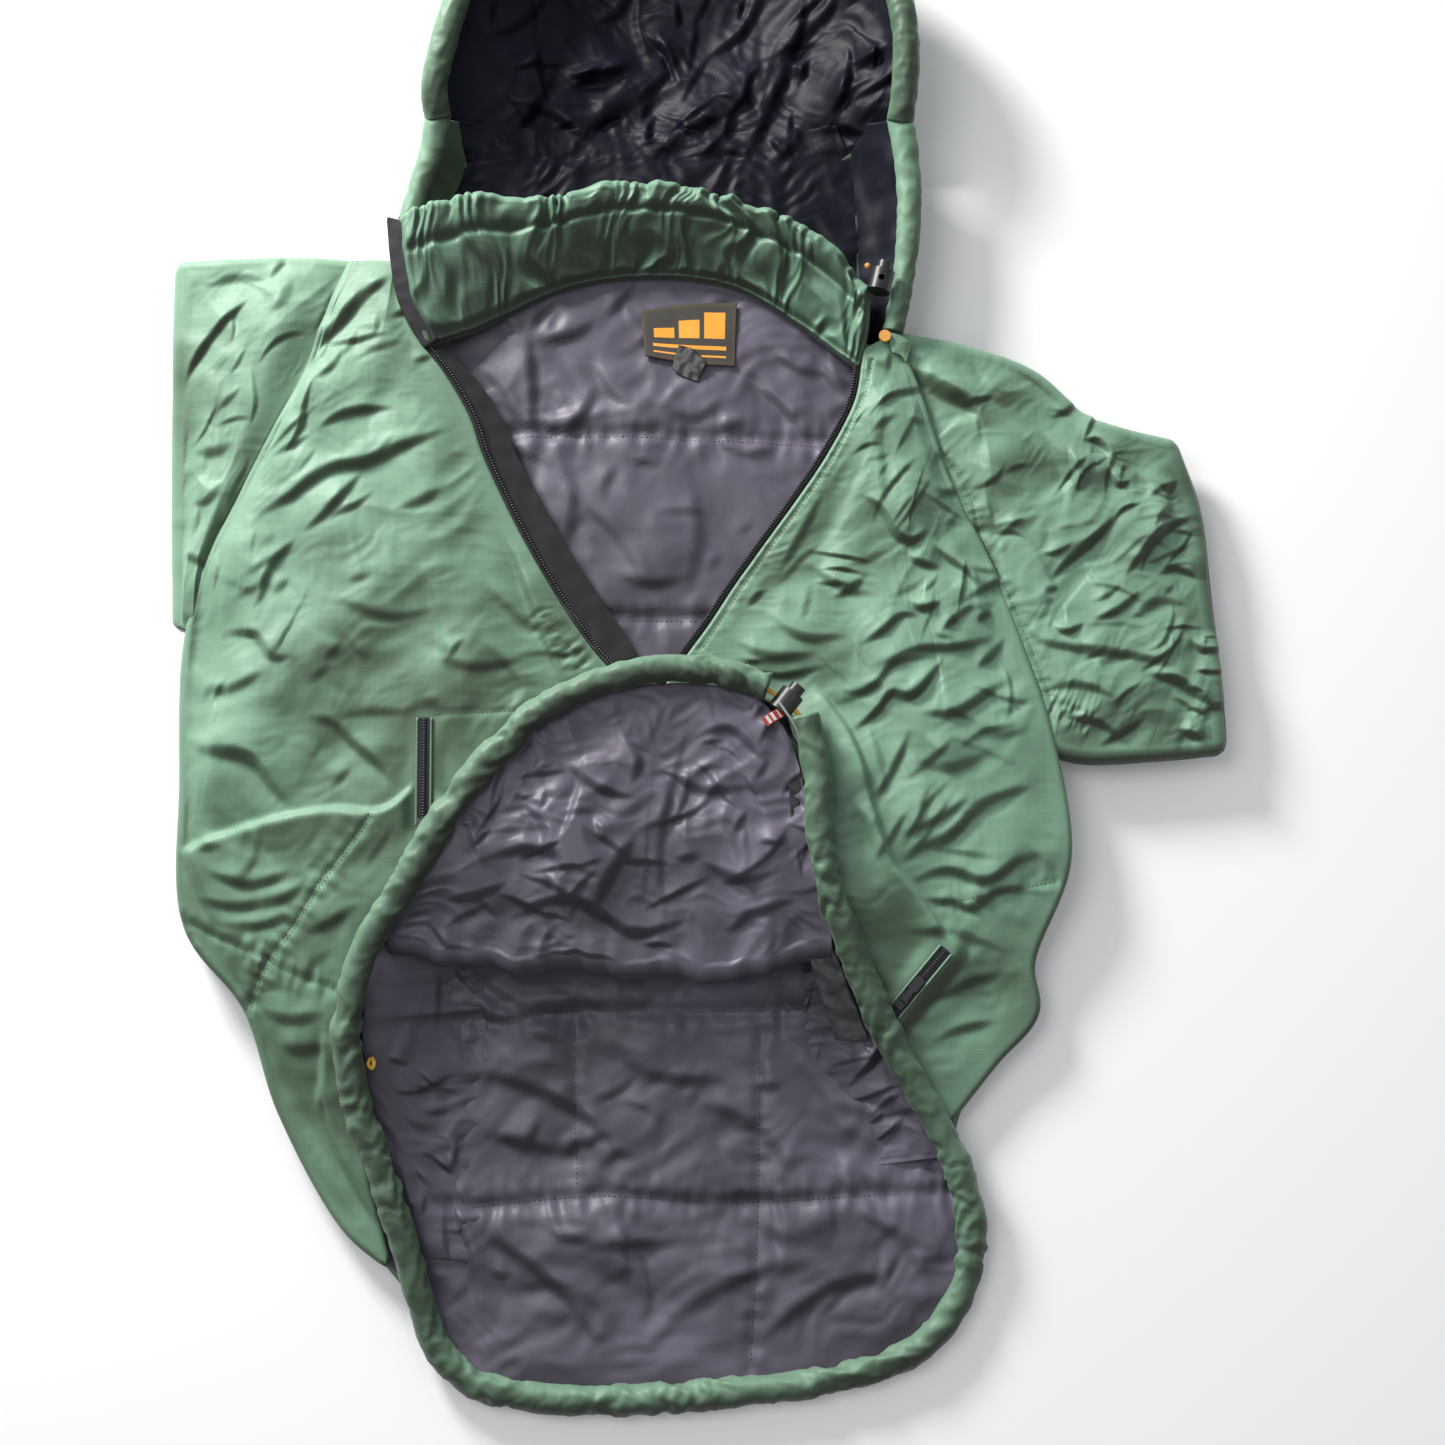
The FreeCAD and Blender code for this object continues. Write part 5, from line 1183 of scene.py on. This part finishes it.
# ================================================================ collar
COL_TOP = [(400, 224, 54), (440, 210, 58), (480, 202, 58), (550, 206, 58), (620, 190, 59), (700, 197, 59), (780, 224, 58), (830, 256, 56), (868, 300, 52)]
COL_BOT = [(427, 340, 48), (470, 328, 38), (500, 315, 34), (560, 288, 31.5), (620, 276, 31), (690, 276, 31), (740, 287, 31), (800, 322, 34), (858, 364, 46)]
COL_L = [(400, 224, 54), (404, 262, 53), (411, 300, 51), (427, 340, 48)]
COL_R = [(868, 300, 52), (866, 330, 49), (858, 364, 46)]
NU, NV = num(420), num(64)
GC = coons(W(COL_BOT), W(COL_TOP), W(COL_L[::-1]), W(COL_R[::-1]), NU, NV)
base_c = GC.copy()
s_c = np.r_[0, np.cumsum(np.linalg.norm(np.diff(GC[NV // 2], axis=0), axis=1))][None]
v_c = np.linspace(0, 1, NV)[:, None]
drift = perlin(s_c / 30.0, v_c * 1.6, 111) * 22.0 + 26.0 * (v_c - 0.5) * perlin(s_c / 50.0, v_c * 0.6, 112)
pleat = ridged((s_c + drift) / 21.0, v_c * 1.3, 113) - 0.45
small = ridged((s_c + drift * 0.6) / 8.5, v_c * 2.2, 114) - 0.5
amp_v = 0.55 + 0.45 * np.cos((v_c - 0.9) * 3.0) ** 2
hc = (10.5 * pleat + 3.4 * small) * amp_v + 3.2 * np.sin(np.pi * v_c) + 2.2 * smooth01((v_c - 0.72) / 0.14) - 1.8 * np.exp(-((v_c - 0.74) / 0.04) ** 2)
mkc = edge_mask(NU, NV, 5, "lr") * (0.35 + 0.65 * edge_mask(NU, NV, 5, "b"))
GC = buckle(GC, 3.2, 1.0, cap=11.0, down=9.0, rest=(1.42, 1.16), goal=0.0, pins="btlr", m=1, sideways=9.0, bend=0.15, frames=24)
hc = hc * 0.9
GC[..., 2] += np.clip(hc, -8.5, 8.0) * mkc
GC[..., 1] += 2.6 * (pleat + 0.6 * small) * smooth01((v_c - 0.5) / 0.5) * mkc
col = quilt("collar_gathered", GC, 9.5, (COLLAR_PAINTED_SHADE, COLLAR_PAINTED_SHADE), r={"t": 5.5, "b": 1.5, "l": 2.0, "r": 2.0}, base=base_c)
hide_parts("collar_outer", "collar_inner")
# dark binding down the collar's image-left end, and the join to the zip
bind, g = ribbon("collar_binding", W([(388, 218, 53), (392, 262, 52), (400, 302, 50), (424, 346, 47)]), W([(404, 222, 55), (409, 262, 54), (417, 300, 52), (436, 338, 49)]), 2.4, TAPE, n=num(90), m=7, amp=0.6)
SHEETS.append((bind, cut(g), "folded", ["collar_outer"]))

# ================================================================ hood
HD_BOT = [(472, 176, 10), (560, 176, 10), (640, 176, 10), (720, 176, 10), (800, 176, 10)]
HD_L = [(472, 176, 10), (448, 140, 26), (438, 100, 48), (446, 50, 60), (462, 0, 62), (486, -50, 60), (560, -96, 52)]
HD_R = [(800, 176, 10), (872, 140, 26), (898, 100, 48), (900, 40, 60), (888, -20, 62), (852, -70, 60), (780, -104, 52)]
HD_TOP = [(560, -96, 52), (620, -110, 50), (700, -112, 50), (780, -104, 52)]
NU, NV = num(212), num(190)
GH = coons(W(HD_BOT), W(HD_TOP), W(HD_L), W(HD_R), NU, NV)
zl_, zr_, zt_ = spread(W(HD_L), NV)[:, 2] - SHIFT[2], spread(W(HD_R), NV)[:, 2] - SHIFT[2], spread(W(HD_TOP), NU)[:, 2] - SHIFT[2]
u_, v_ = np.linspace(0, 1, NU)[None], np.linspace(0, 1, NV)[:, None]
aa = (zl_[:, None] - 10) / 52 * np.maximum(0, 1 - 2 * u_) ** 3 + (zr_[:, None] - 10) / 52 * np.maximum(0, 2 * u_ - 1) ** 3
bb = (zt_[None] - 10) / 52 * v_ ** 6
GH[..., 2] = 10 + 52 * (aa + bb - aa * bb / 0.81) + SHIFT[2]
base_h = GH.copy()
mk = edge_mask(NU, NV, 8)
creases(GH, [
    (4.0, 6, [(500, 150), (540, 110), (560, 60)]), (4.2, 7, [(560, 170), (600, 120), (650, 90), (690, 40)]), (3.8, 6, [(480, 60), (520, 40), (560, -10)]),
    (4.0, 7, [(640, 170), (690, 130), (740, 110)]), (4.2, 7, [(740, 170), (770, 110), (800, 40), (805, -10)]), (3.6, 6, [(700, 60), (745, 30), (770, -20)]),
    (3.8, 6, [(820, 150), (845, 100), (850, 50)]), (3.4, 6, [(580, 30), (620, 10), (640, -40)]), (3.6, 6, [(780, 60), (830, 20), (850, -20)]), (3.2, 6, [(500, 110), (560, 120), (600, 160)]),
    (3.4, 6, [(640, 60), (600, 80), (560, 75)]), (3.4, 6, [(690, 170), (720, 150), (760, 160)])], zref=16.0)
swell(GH, 123, 48.0, 4.0, mk)
scatter(GH, 124, 80, 1.1, 1.0, (20, 70), 2.6, 4.0)
GH = buckle(GH, 5.0, 1.08, cap=8.0, down=3.0)
crumple(GH, 121, 24.0, 2.4, 1.0, 2.2, mk)
crumple(GH, 122, 12.0, 1.3, -0.7, 2.0, mk)
lo = base_h[..., 2] - 3.5
GH[..., 2] = np.maximum(GH[..., 2], lo)
seam_line(GH, [(478, 168), (560, 160), (640, 165), (720, 160), (800, 168)], depth=2.0, w=3.0, pucker=1.5, zref=12.0)
under_h = base_h.copy()
under_h[..., 2] += 1.7 * edge_mask(NU, NV, 14)
swell(under_h, 125, 42.0, 1.2, mk)
scatter(under_h, 126, 40, 1.1, 1.0, (24, 80), 0.8, 4.5)
crumple(under_h, 127, 22.0, 1.0, 1.0, 2.2, mk)
hood = quilt("hood_bowl", GH, 8.8, (HOODLINING_PAINTED_SHADE, GREEN), body=H0, r={"b": 2.0, "t": 4.4, "l": 4.4, "r": 4.4}, base=under_h, roll=1)
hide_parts("hood_shell", "hood_insulation", "hood_lining")

RIM = [(438, 118, 52), (434, 90, 62), (444, 40, 70), (460, -10, 72), (484, -58, 70), (540, -100, 64), (620, -118, 60), (700, -121, 60), (790, -112, 64), (858, -76, 70), (893, -22, 72), (906, 40, 70), (904, 96, 60), (900, 122, 52)]
RP = spread(W(RIM), num(330))


def rim_r(s, ph):
    n = ridged(s / 16.0 + 0.4 * np.sin(ph), np.cos(ph), 131) - 0.55
    m = ridged(s / 7.0, np.sin(ph), 132) - 0.55
    return np.minimum(8.8 + 1.2 * n + 0.5 * m, 10.0)


rim = tube("hood_rim_channel_cloth", RP, rim_r, [HEMGREEN_PAINTED_SHADE], body=H0, ns=num(44))
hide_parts("hood_rim_channel")

# neck side of the hood: crosses the fold line between the two bodies, so it is attached to neither
y0, y1 = 0.262, 0.330
NU, NV = num(160), num(90)
GN = coons(W([(402, 290, 20), (450, 318, 20), (500, 309, 20), (560, 286, 20), (620, 274, 20), (690, 274, 20), (740, 286, 20), (800, 319, 20), (845, 348, 20), (884, 346, 21)]),
           W([(462, 132, 16), (560, 132, 13.2), (640, 132, 13.2), (720, 132, 13.2), (836, 132, 16)]),
           W([(402, 290, 20), (424, 214, 16), (462, 132, 16)]), W([(884, 346, 21), (882, 236, 16), (836, 132, 16)]), NU, NV)
bowl_z = height_on(GH[::3, ::3], GN[..., :2].reshape(-1, 2)).reshape(GN.shape[:2])
join_w = smooth01((GN[..., 1] - 1000 * (y1 - 0.012)) / 14.0)
GN[..., 2] = GN[..., 2] * (1 - join_w) + (bowl_z + 1.6) * join_w
base_n = GN.copy()
GN[..., 2] += 1.2 * edge_mask(NU, NV, 14)
crumple(GN, 141, 22.0, 3.4, 0.9, 2.0, edge_mask(NU, NV, 8) * (1 - 0.8 * join_w))
crumple(GN, 142, 10.0, 1.5, 0.2, 2.0, edge_mask(NU, NV, 8))
neck = quilt("hood_neck", GN, 1.8, (HOODLINING_PAINTED_SHADE, GREEN), body=None, r={"b": 0.9, "t": 0.9, "l": 0.9, "r": 0.9}, base=base_n, roll=0, lower_edge=0)
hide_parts("hood_neck_panel")
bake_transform(neck)
SHEETS.append((neck, cut(GN), "stretched", ["back_shell", "hood_shell"]))


def soft_tube(name, pts, r0, r1, mat, seed, flat=1.0):
    P = spread(W(pts), num(110))

    def rr(s, ph):
        t = s / s.max()
        n = ridged(s / 14.0, np.cos(ph) * 0.8, seed) - 0.55
        return r0 + (r1 - r0) * t + 1.1 * n
    o = tube(name, P, rr, [mat], body=None, ns=num(40), flat=flat)
    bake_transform(o)
    PADS.append(o)
    return o


soft_tube("hood_edge_left", [(893, 332, 41), (903, 280, 45), (909, 220, 48), (907, 160, 50), (900, 118, 52)], 7.0, 9.0, GREEN, 151, 0.8)
soft_tube("hood_edge_right", [(409, 222, 44), (419, 190, 45), (431, 155, 48), (438, 116, 52)], 7.5, 9.0, GREEN, 152, 0.85)
for nm, A, B, sd in (("hood_gore_left", [(893, 338, 40), (901, 282, 44), (906, 222, 46), (904, 162, 48), (897, 120, 50)], [(862, 330, 24), (858, 270, 17), (856, 215, 15.5), (850, 172, 15.5), (844, 128, 18)], 153),
                     ("hood_gore_right", [(408, 232, 42), (420, 192, 43), (433, 156, 46), (440, 118, 50)], [(446, 250, 19), (456, 205, 16), (464, 172, 15.5), (474, 128, 18)], 154)):
    a, b = spread(W(A), num(110)), spread(W(B), num(110))
    v = np.linspace(0, 1, num(40))[:, None, None]
    g = a[None] * (1 - v) + b[None] * v
    g[..., 2] += 2.2 * perlin(g[..., 0] / 14.0, g[..., 1] / 20.0, sd)
    o = quilt(nm, g, 2.0, (HOODLINING_PAINTED_SHADE if sd == 153 else GREEN, GREEN), body=None)
    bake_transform(o)
    SHEETS.append((o, cut(g), "stretched", ["hood_neck_panel"]))


# ================================================================ main zip
ZL = [(866, 352, 44), (858, 400, 44.5), (830, 455, 44.5), (800, 500, 43.5), (760, 555, 42.5), (735, 590, 41.5), (712, 625, 41), (690, 655, 40.5), (664, 690, 40.5)]
ZR = [(422, 350, 43.5), (444, 378, 43.5), (468, 420, 43.5), (480, 455, 43.5), (505, 510, 43), (540, 575, 42), (578, 635, 41), (605, 668, 40.5), (638, 692, 40.5)]
zl, zr = spread(W(ZL), 260), spread(W(ZR), 260)
up = np.array([0, 0, 1.0])
tl, _ = ribbon("zip_tape_left_cloth", offset(zl, 1.0), offset(zl, -6.4), 0.9, TAPE, n=240, m=7)
tr, _ = ribbon("zip_tape_right_cloth", offset(zr, 6.4), offset(zr, -1.0), 0.9, TAPE, n=240, m=7)
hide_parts("zip_tape_left")
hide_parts("zip_tape_right")
for nm, P, o, node in (("zip_coil_left", zl, -5.6, "zip_teeth_left"), ("zip_coil_right", zr, 5.6, "zip_teeth_right")):
    c = beads(nm, offset(P, o) + up * 0.9, 2.0, (1.5, 3.1, 2.2), COIL, skew=0.0)
    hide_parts(node)
    cord_line = rod_along(nm + "_core", offset(P, o + (1.9 if o < 0 else -1.9)) + up * 0.5, 0.55, TAPE, ns=8)
FLA = [(424, 348, 40.5), (452, 378, 40), (477, 420, 39.5), (489, 455, 39.5), (514, 510, 39.5), (549, 575, 39), (587, 635, 38.5), (612, 664, 38.5)]
FLB = [(444, 350, 36), (476, 382, 35), (500, 420, 35), (514, 455, 35), (540, 505, 35), (574, 562, 35), (614, 622, 35), (636, 656, 35)]
flap, gf = ribbon("storm_flap_satin", W([(a - 4, b, z + 3.4) for a, b, z in FLA]), W([(a + 2, b, z + 1.5) for a, b, z in FLB]), 1.0, SATIN, n=num(200), m=12, amp=1.1, seed=161, size=14.0)
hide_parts("storm_flap")
SHEETS.append((flap, cut(gf), "laid", ["right_front_lining"]))
chain_lo, chain_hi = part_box("zip_closed_chain")
cx = (chain_lo.x + chain_hi.x) * 500.0
cz = chain_hi.z * 1000.0
ca, cb = np.array([cx, chain_hi.y * 1000.0, cz]), np.array([cx, chain_lo.y * 1000.0, cz])
ct, _ = ribbon("zip_closed_tape", np.array([ca, cb]) + [[-6.8, 0, -2.0]], np.array([ca, cb]) + [[6.8, 0, -2.0]], 0.9, TAPE, n=30, m=7)
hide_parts("zip_closed_chain")
cc = beads("zip_closed_coil", np.array([ca, cb]) + [[0, 0, -1.3]], 2.0, (1.5, 4.2, 2.2), COIL)

# ================================================================ pockets
def pocket_zip(nm, node, ends, width):
    P = spread(W(ends), 60)
    P[:, 2] += 0.4
    t, _ = ribbon(nm + "_tape", offset(P, width / 2), offset(P, -width / 2), 1.0, TAPE, n=60, m=7)
    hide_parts(node)
    c = beads(nm + "_coil", P + up * 0.5, 1.9, (1.4, 3.6, 1.7), COIL)
    e1 = rod_along(nm + "_edge_a", offset(P, width / 2 + 0.5) - up * 0.1, 0.9, GREEN, ns=10)
    e2 = rod_along(nm + "_edge_b", offset(P, -width / 2 - 0.5) - up * 0.1, 0.9, GREEN, ns=10)
    return P


PR = pocket_zip("right_pocket", "right_pocket_zip", ZIP_R, 8.2)
PL = pocket_zip("left_pocket", "left_pocket_zip", ZIP_L, 8.2)
for side, node in (("left", "left_pocket_bag"), ("right", "right_pocket_bag")):
    lo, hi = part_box(node)
    src = CAD[node]
    me = src.data.copy()
    ob = bpy.data.objects.new(side + "_pocket_bag_cloth", me)
    me.materials.clear()
    me.materials.append(LINING)
    ob.matrix_world = src.matrix_world.copy()
    scene.collection.objects.link(ob)
    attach(ob, G0)
    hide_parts(node)
    PADS.append(ob)

# ================================================================ label, tabs, locks
LA = spread(W([(641, 311, 27), (690, 304, 27), (737, 303, 27)]), 60)
LB = spread(W([(645, 356, 26.4), (690, 364, 26), (735, 367, 26)]), 60)
v = np.linspace(0, 1, 34)[:, None, None]
glab = LB[None] * (1 - v) + LA[None] * v
glab[..., 2] = np.maximum(glab[..., 2], 26.9) + 0.6 * perlin(glab[..., 0] / 22.0, glab[..., 1] / 22.0, 171)
u = np.linspace(0, 1, 60)[None] + 0 * v[..., 0]
vv = v[..., 0] + 0 * u
idx = np.zeros((33, 59), dtype=int)
uc, vc = (u[:-1, :-1] + u[1:, 1:]) / 2, (vv[:-1, :-1] + vv[1:, 1:]) / 2
# plain mark: three rising bars, and two woven bands where the original has small print
for k, (a, b) in enumerate(((0.12, 0.34), (0.39, 0.61), (0.66, 0.88))):
    idx[(uc > a) & (uc < b) & (vc > 0.42) & (vc < 0.62 + 0.12 * k)] = 1
idx[((vc > 0.24) & (vc < 0.30) | (vc > 0.12) & (vc < 0.16)) & (uc > 0.10) & (uc < 0.90)] = 1
idx[(uc < 0.03) | (uc > 0.97) | (vc < 0.05) | (vc > 0.95)] = 2
nv_, nu_ = glab.shape[:2]
low = glab.copy()
low[..., 2] -= 1.0
j, i = np.mgrid[0:nv_ - 1, 0:nu_ - 1]
a = (j * nu_ + i).ravel()
qf = np.stack([a, a + 1, a + nu_ + 1, a + nu_], axis=1)
faces = qf.tolist() + (qf[:, ::-1] + nv_ * nu_).tolist()
fi = idx.ravel().tolist() + [0] * len(qf)
R = ring_index(nu_, nv_)
for k in range(len(R)):
    faces.append((int(R[k]), int(R[k] + nv_ * nu_), int(R[(k + 1) % len(R)] + nv_ * nu_), int(R[(k + 1) % len(R)])))
    fi.append(2)
label = new_mesh("neck_label_woven", np.vstack([glab.reshape(-1, 3), low.reshape(-1, 3)]), faces, [LABEL, MARK, EDGE], fi)
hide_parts("neck_label")
SHEETS.append((label, cut(glab), "laid", ["back_lining"]))
tab, gt_ = ribbon("size_tab", W([(679, 345, 30), (694, 350, 31), (706, 362, 30)]), W([(672, 368, 27), (684, 376, 27), (697, 381, 27)]), 0.8, SATIN, n=24, m=10, amp=0.8, seed=172, size=6.0)
SHEETS.append((tab, cut(gt_), "hung", ["neck_label"]))
hang, gt_ = ribbon("shoulder_tab", W([(888, 332, 44), (900, 336, 45), (911, 344, 44)]), W([(893, 352, 44), (903, 356, 44.5), (906, 362, 44)]), 1.2, GREEN, n=24, m=10, amp=0.6, seed=173, size=8.0)
SHEETS.append((hang, cut(gt_), "hung", ["collar_outer"]))

tlo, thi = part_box("hem_lock_tag")
tg = W([(781, 704, 69), (786, 700, 71), (791, 697, 71), (797, 694, 69)])
tgB = W([(776, 697, 69.5), (781, 693, 72.5), (786, 690, 72.5), (792, 687, 69.5)])
tagA, tagB = spread(tg, 36), spread(tgB, 36)
tc_ = (tlo + thi) * 500.0
shiftt = np.array([tc_.x, tc_.y, thi.z * 1000.0 + 1.0]) - (tagA.mean(axis=0) + tagB.mean(axis=0)) / 2
tagA, tagB = tagA + shiftt, tagB + shiftt
v = np.linspace(0, 1, 12)[:, None, None]
gt = tagA[None] * (1 - v) + tagB[None] * v
tag = quilt("hem_lock_tag_woven", gt, 1.0, (RED, RED))
for k, p in enumerate(tag.data.polygons):
    if k < 35 * 11:
        cu = (k % 35) / 34.0
        if 0.12 < cu < 0.30 or 0.42 < cu < 0.56 or 0.80 < cu < 0.90:
            p.material_index = 1
tag.data.materials[1] = WHITE
for k, p in enumerate(tag.data.polygons):
    if k >= 35 * 11:
        p.material_index = 0
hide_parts("hem_lock_tag")
SHEETS.append((tag, cut(gt), "hung", ["hem_lock_body"]))
# thin grey pull cord that lies against the channel by the lock, both ends under the channel's edge
rod_along("hem_loop_grey", dense(W([(779, 702, 73), (786, 712, 74), (794, 724, 73), (800, 738, 70), (801, 752, 66)])), 0.9, GREY, ns=10)
rod_along("zip_pull_cord", dense(W([(372, 1058, 41), (374, 1063, 43), (372, 1068, 42), (368, 1064, 41), (371, 1058, 41)])), 1.3, CORD, ns=10)

# ================================================================ stitching
def stitched(name, G, pts, pitch=2.9, lift=0.1, mat=None, off=0.0, zref=40.0, body=G0):
    P = on(G, pts, lift, zref=zref)
    if off:
        P = offset(P, off)
        P[:, 2] = height_on(G, P[:, :2]) + lift
    return beads(name, P, pitch, (2.1, 0.55, 0.55), mat or THREAD, body=body)


for k, (G, pts, off) in enumerate((
        (GS, [(903, 372), (912, 400), (922, 428), (954, 466), (972, 498), (980, 530), (998, 568), (1018, 612), (1036, 655), (1052, 694)], 0.0),
        (GS, [(903, 372), (912, 400), (922, 428), (954, 466), (972, 498), (980, 530), (998, 568), (1018, 612), (1036, 655), (1052, 694)], -4.5),
        (GR, [(374, 816), (345, 855), (325, 880), (292, 929), (272, 953), (252, 986), (243, 1010)], 1.6),
        (GR, [(374, 816), (345, 855), (325, 880), (292, 929), (272, 953), (252, 986), (243, 1010)], -1.6),
        (GR, [(180, 919), (215, 937), (252, 953), (292, 973), (336, 989)], 0.0),
        (GR, [(434, 716), (470, 714), (520, 711)], 0.0),
        (GR, [(431.5, 722), (431.5, 770), (430.5, 818)], 0.0),
        (GL, [(872, 366), (862, 404), (834, 459), (804, 504), (764, 559), (739, 594), (716, 629), (702, 650)], 0.0),
        (GL, [(1058, 880), (1000, 892), (945, 903)], 0.0))):
    stitched("stitch_%d" % k, G, pts, off=off)
for k, (pts, zr_) in enumerate((([(520, 437), (600, 436), (720, 441), (826, 446)], 24), ([(600, 620), (660, 620), (712, 622)], 24),
                                ([(500, 1018), (576, 1011), (670, 1012), (780, 1011)], 11), ([(470, 1208), (600, 1196), (720, 1203), (900, 1194)], 10),
                                ([(575, 1024), (574, 1100), (577, 1184)], 10), ([(760, 1024), (758, 1200), (751, 1360)], 10))):
    stitched("stitch_lining_%d" % k, GB, pts, pitch=3.4, mat=THREAD_D, zref=zr_)

# ================================================================ studio
bpy.ops.mesh.primitive_plane_add(size=8.0, location=(0, 0, -0.0006))
floor = bpy.context.object
floor.name = "floor"
fm = plain_mat("floor", (0.88, 0.88, 0.88), 0.85, spec=0.1)
floor.data.materials.append(fm)


def area(name, loc, aim, size, power, col=(1, 1, 1)):
    d = bpy.data.lights.new(name, "AREA")
    d.shape = "DISK"
    d.size = size
    d.energy = power
    d.color = col
    o = bpy.data.objects.new(name, d)
    o.location = loc
    o.rotation_euler = (Vector(aim) - Vector(loc)).to_track_quat("-Z", "Y").to_euler()
    scene.collection.objects.link(o)
    return o


area("key", (-0.95, 1.25, 0.85), (0.05, -0.1, 0), 0.5, 46.0, (1.0, 0.99, 0.965))
area("fill", (0.9, -0.6, 1.9), (0, 0, 0), 1.6, 4.0, (0.93, 0.96, 1.0))
area("top", (-0.8, 0.2, 2.0), (0, -0.2, 0), 1.2, 12.0, (1.0, 1.0, 1.0))
scene.view_settings.view_transform = "Standard"
w = bpy.data.worlds.new("studio") if not scene.world else scene.world
scene.world = w
w.use_nodes = True
bg = w.node_tree.nodes.get("Background")
bg.inputs["Color"].default_value = (0.95, 0.97, 1.0, 1)
bg.inputs["Strength"].default_value = 0.42

bpy.context.view_layer.update()
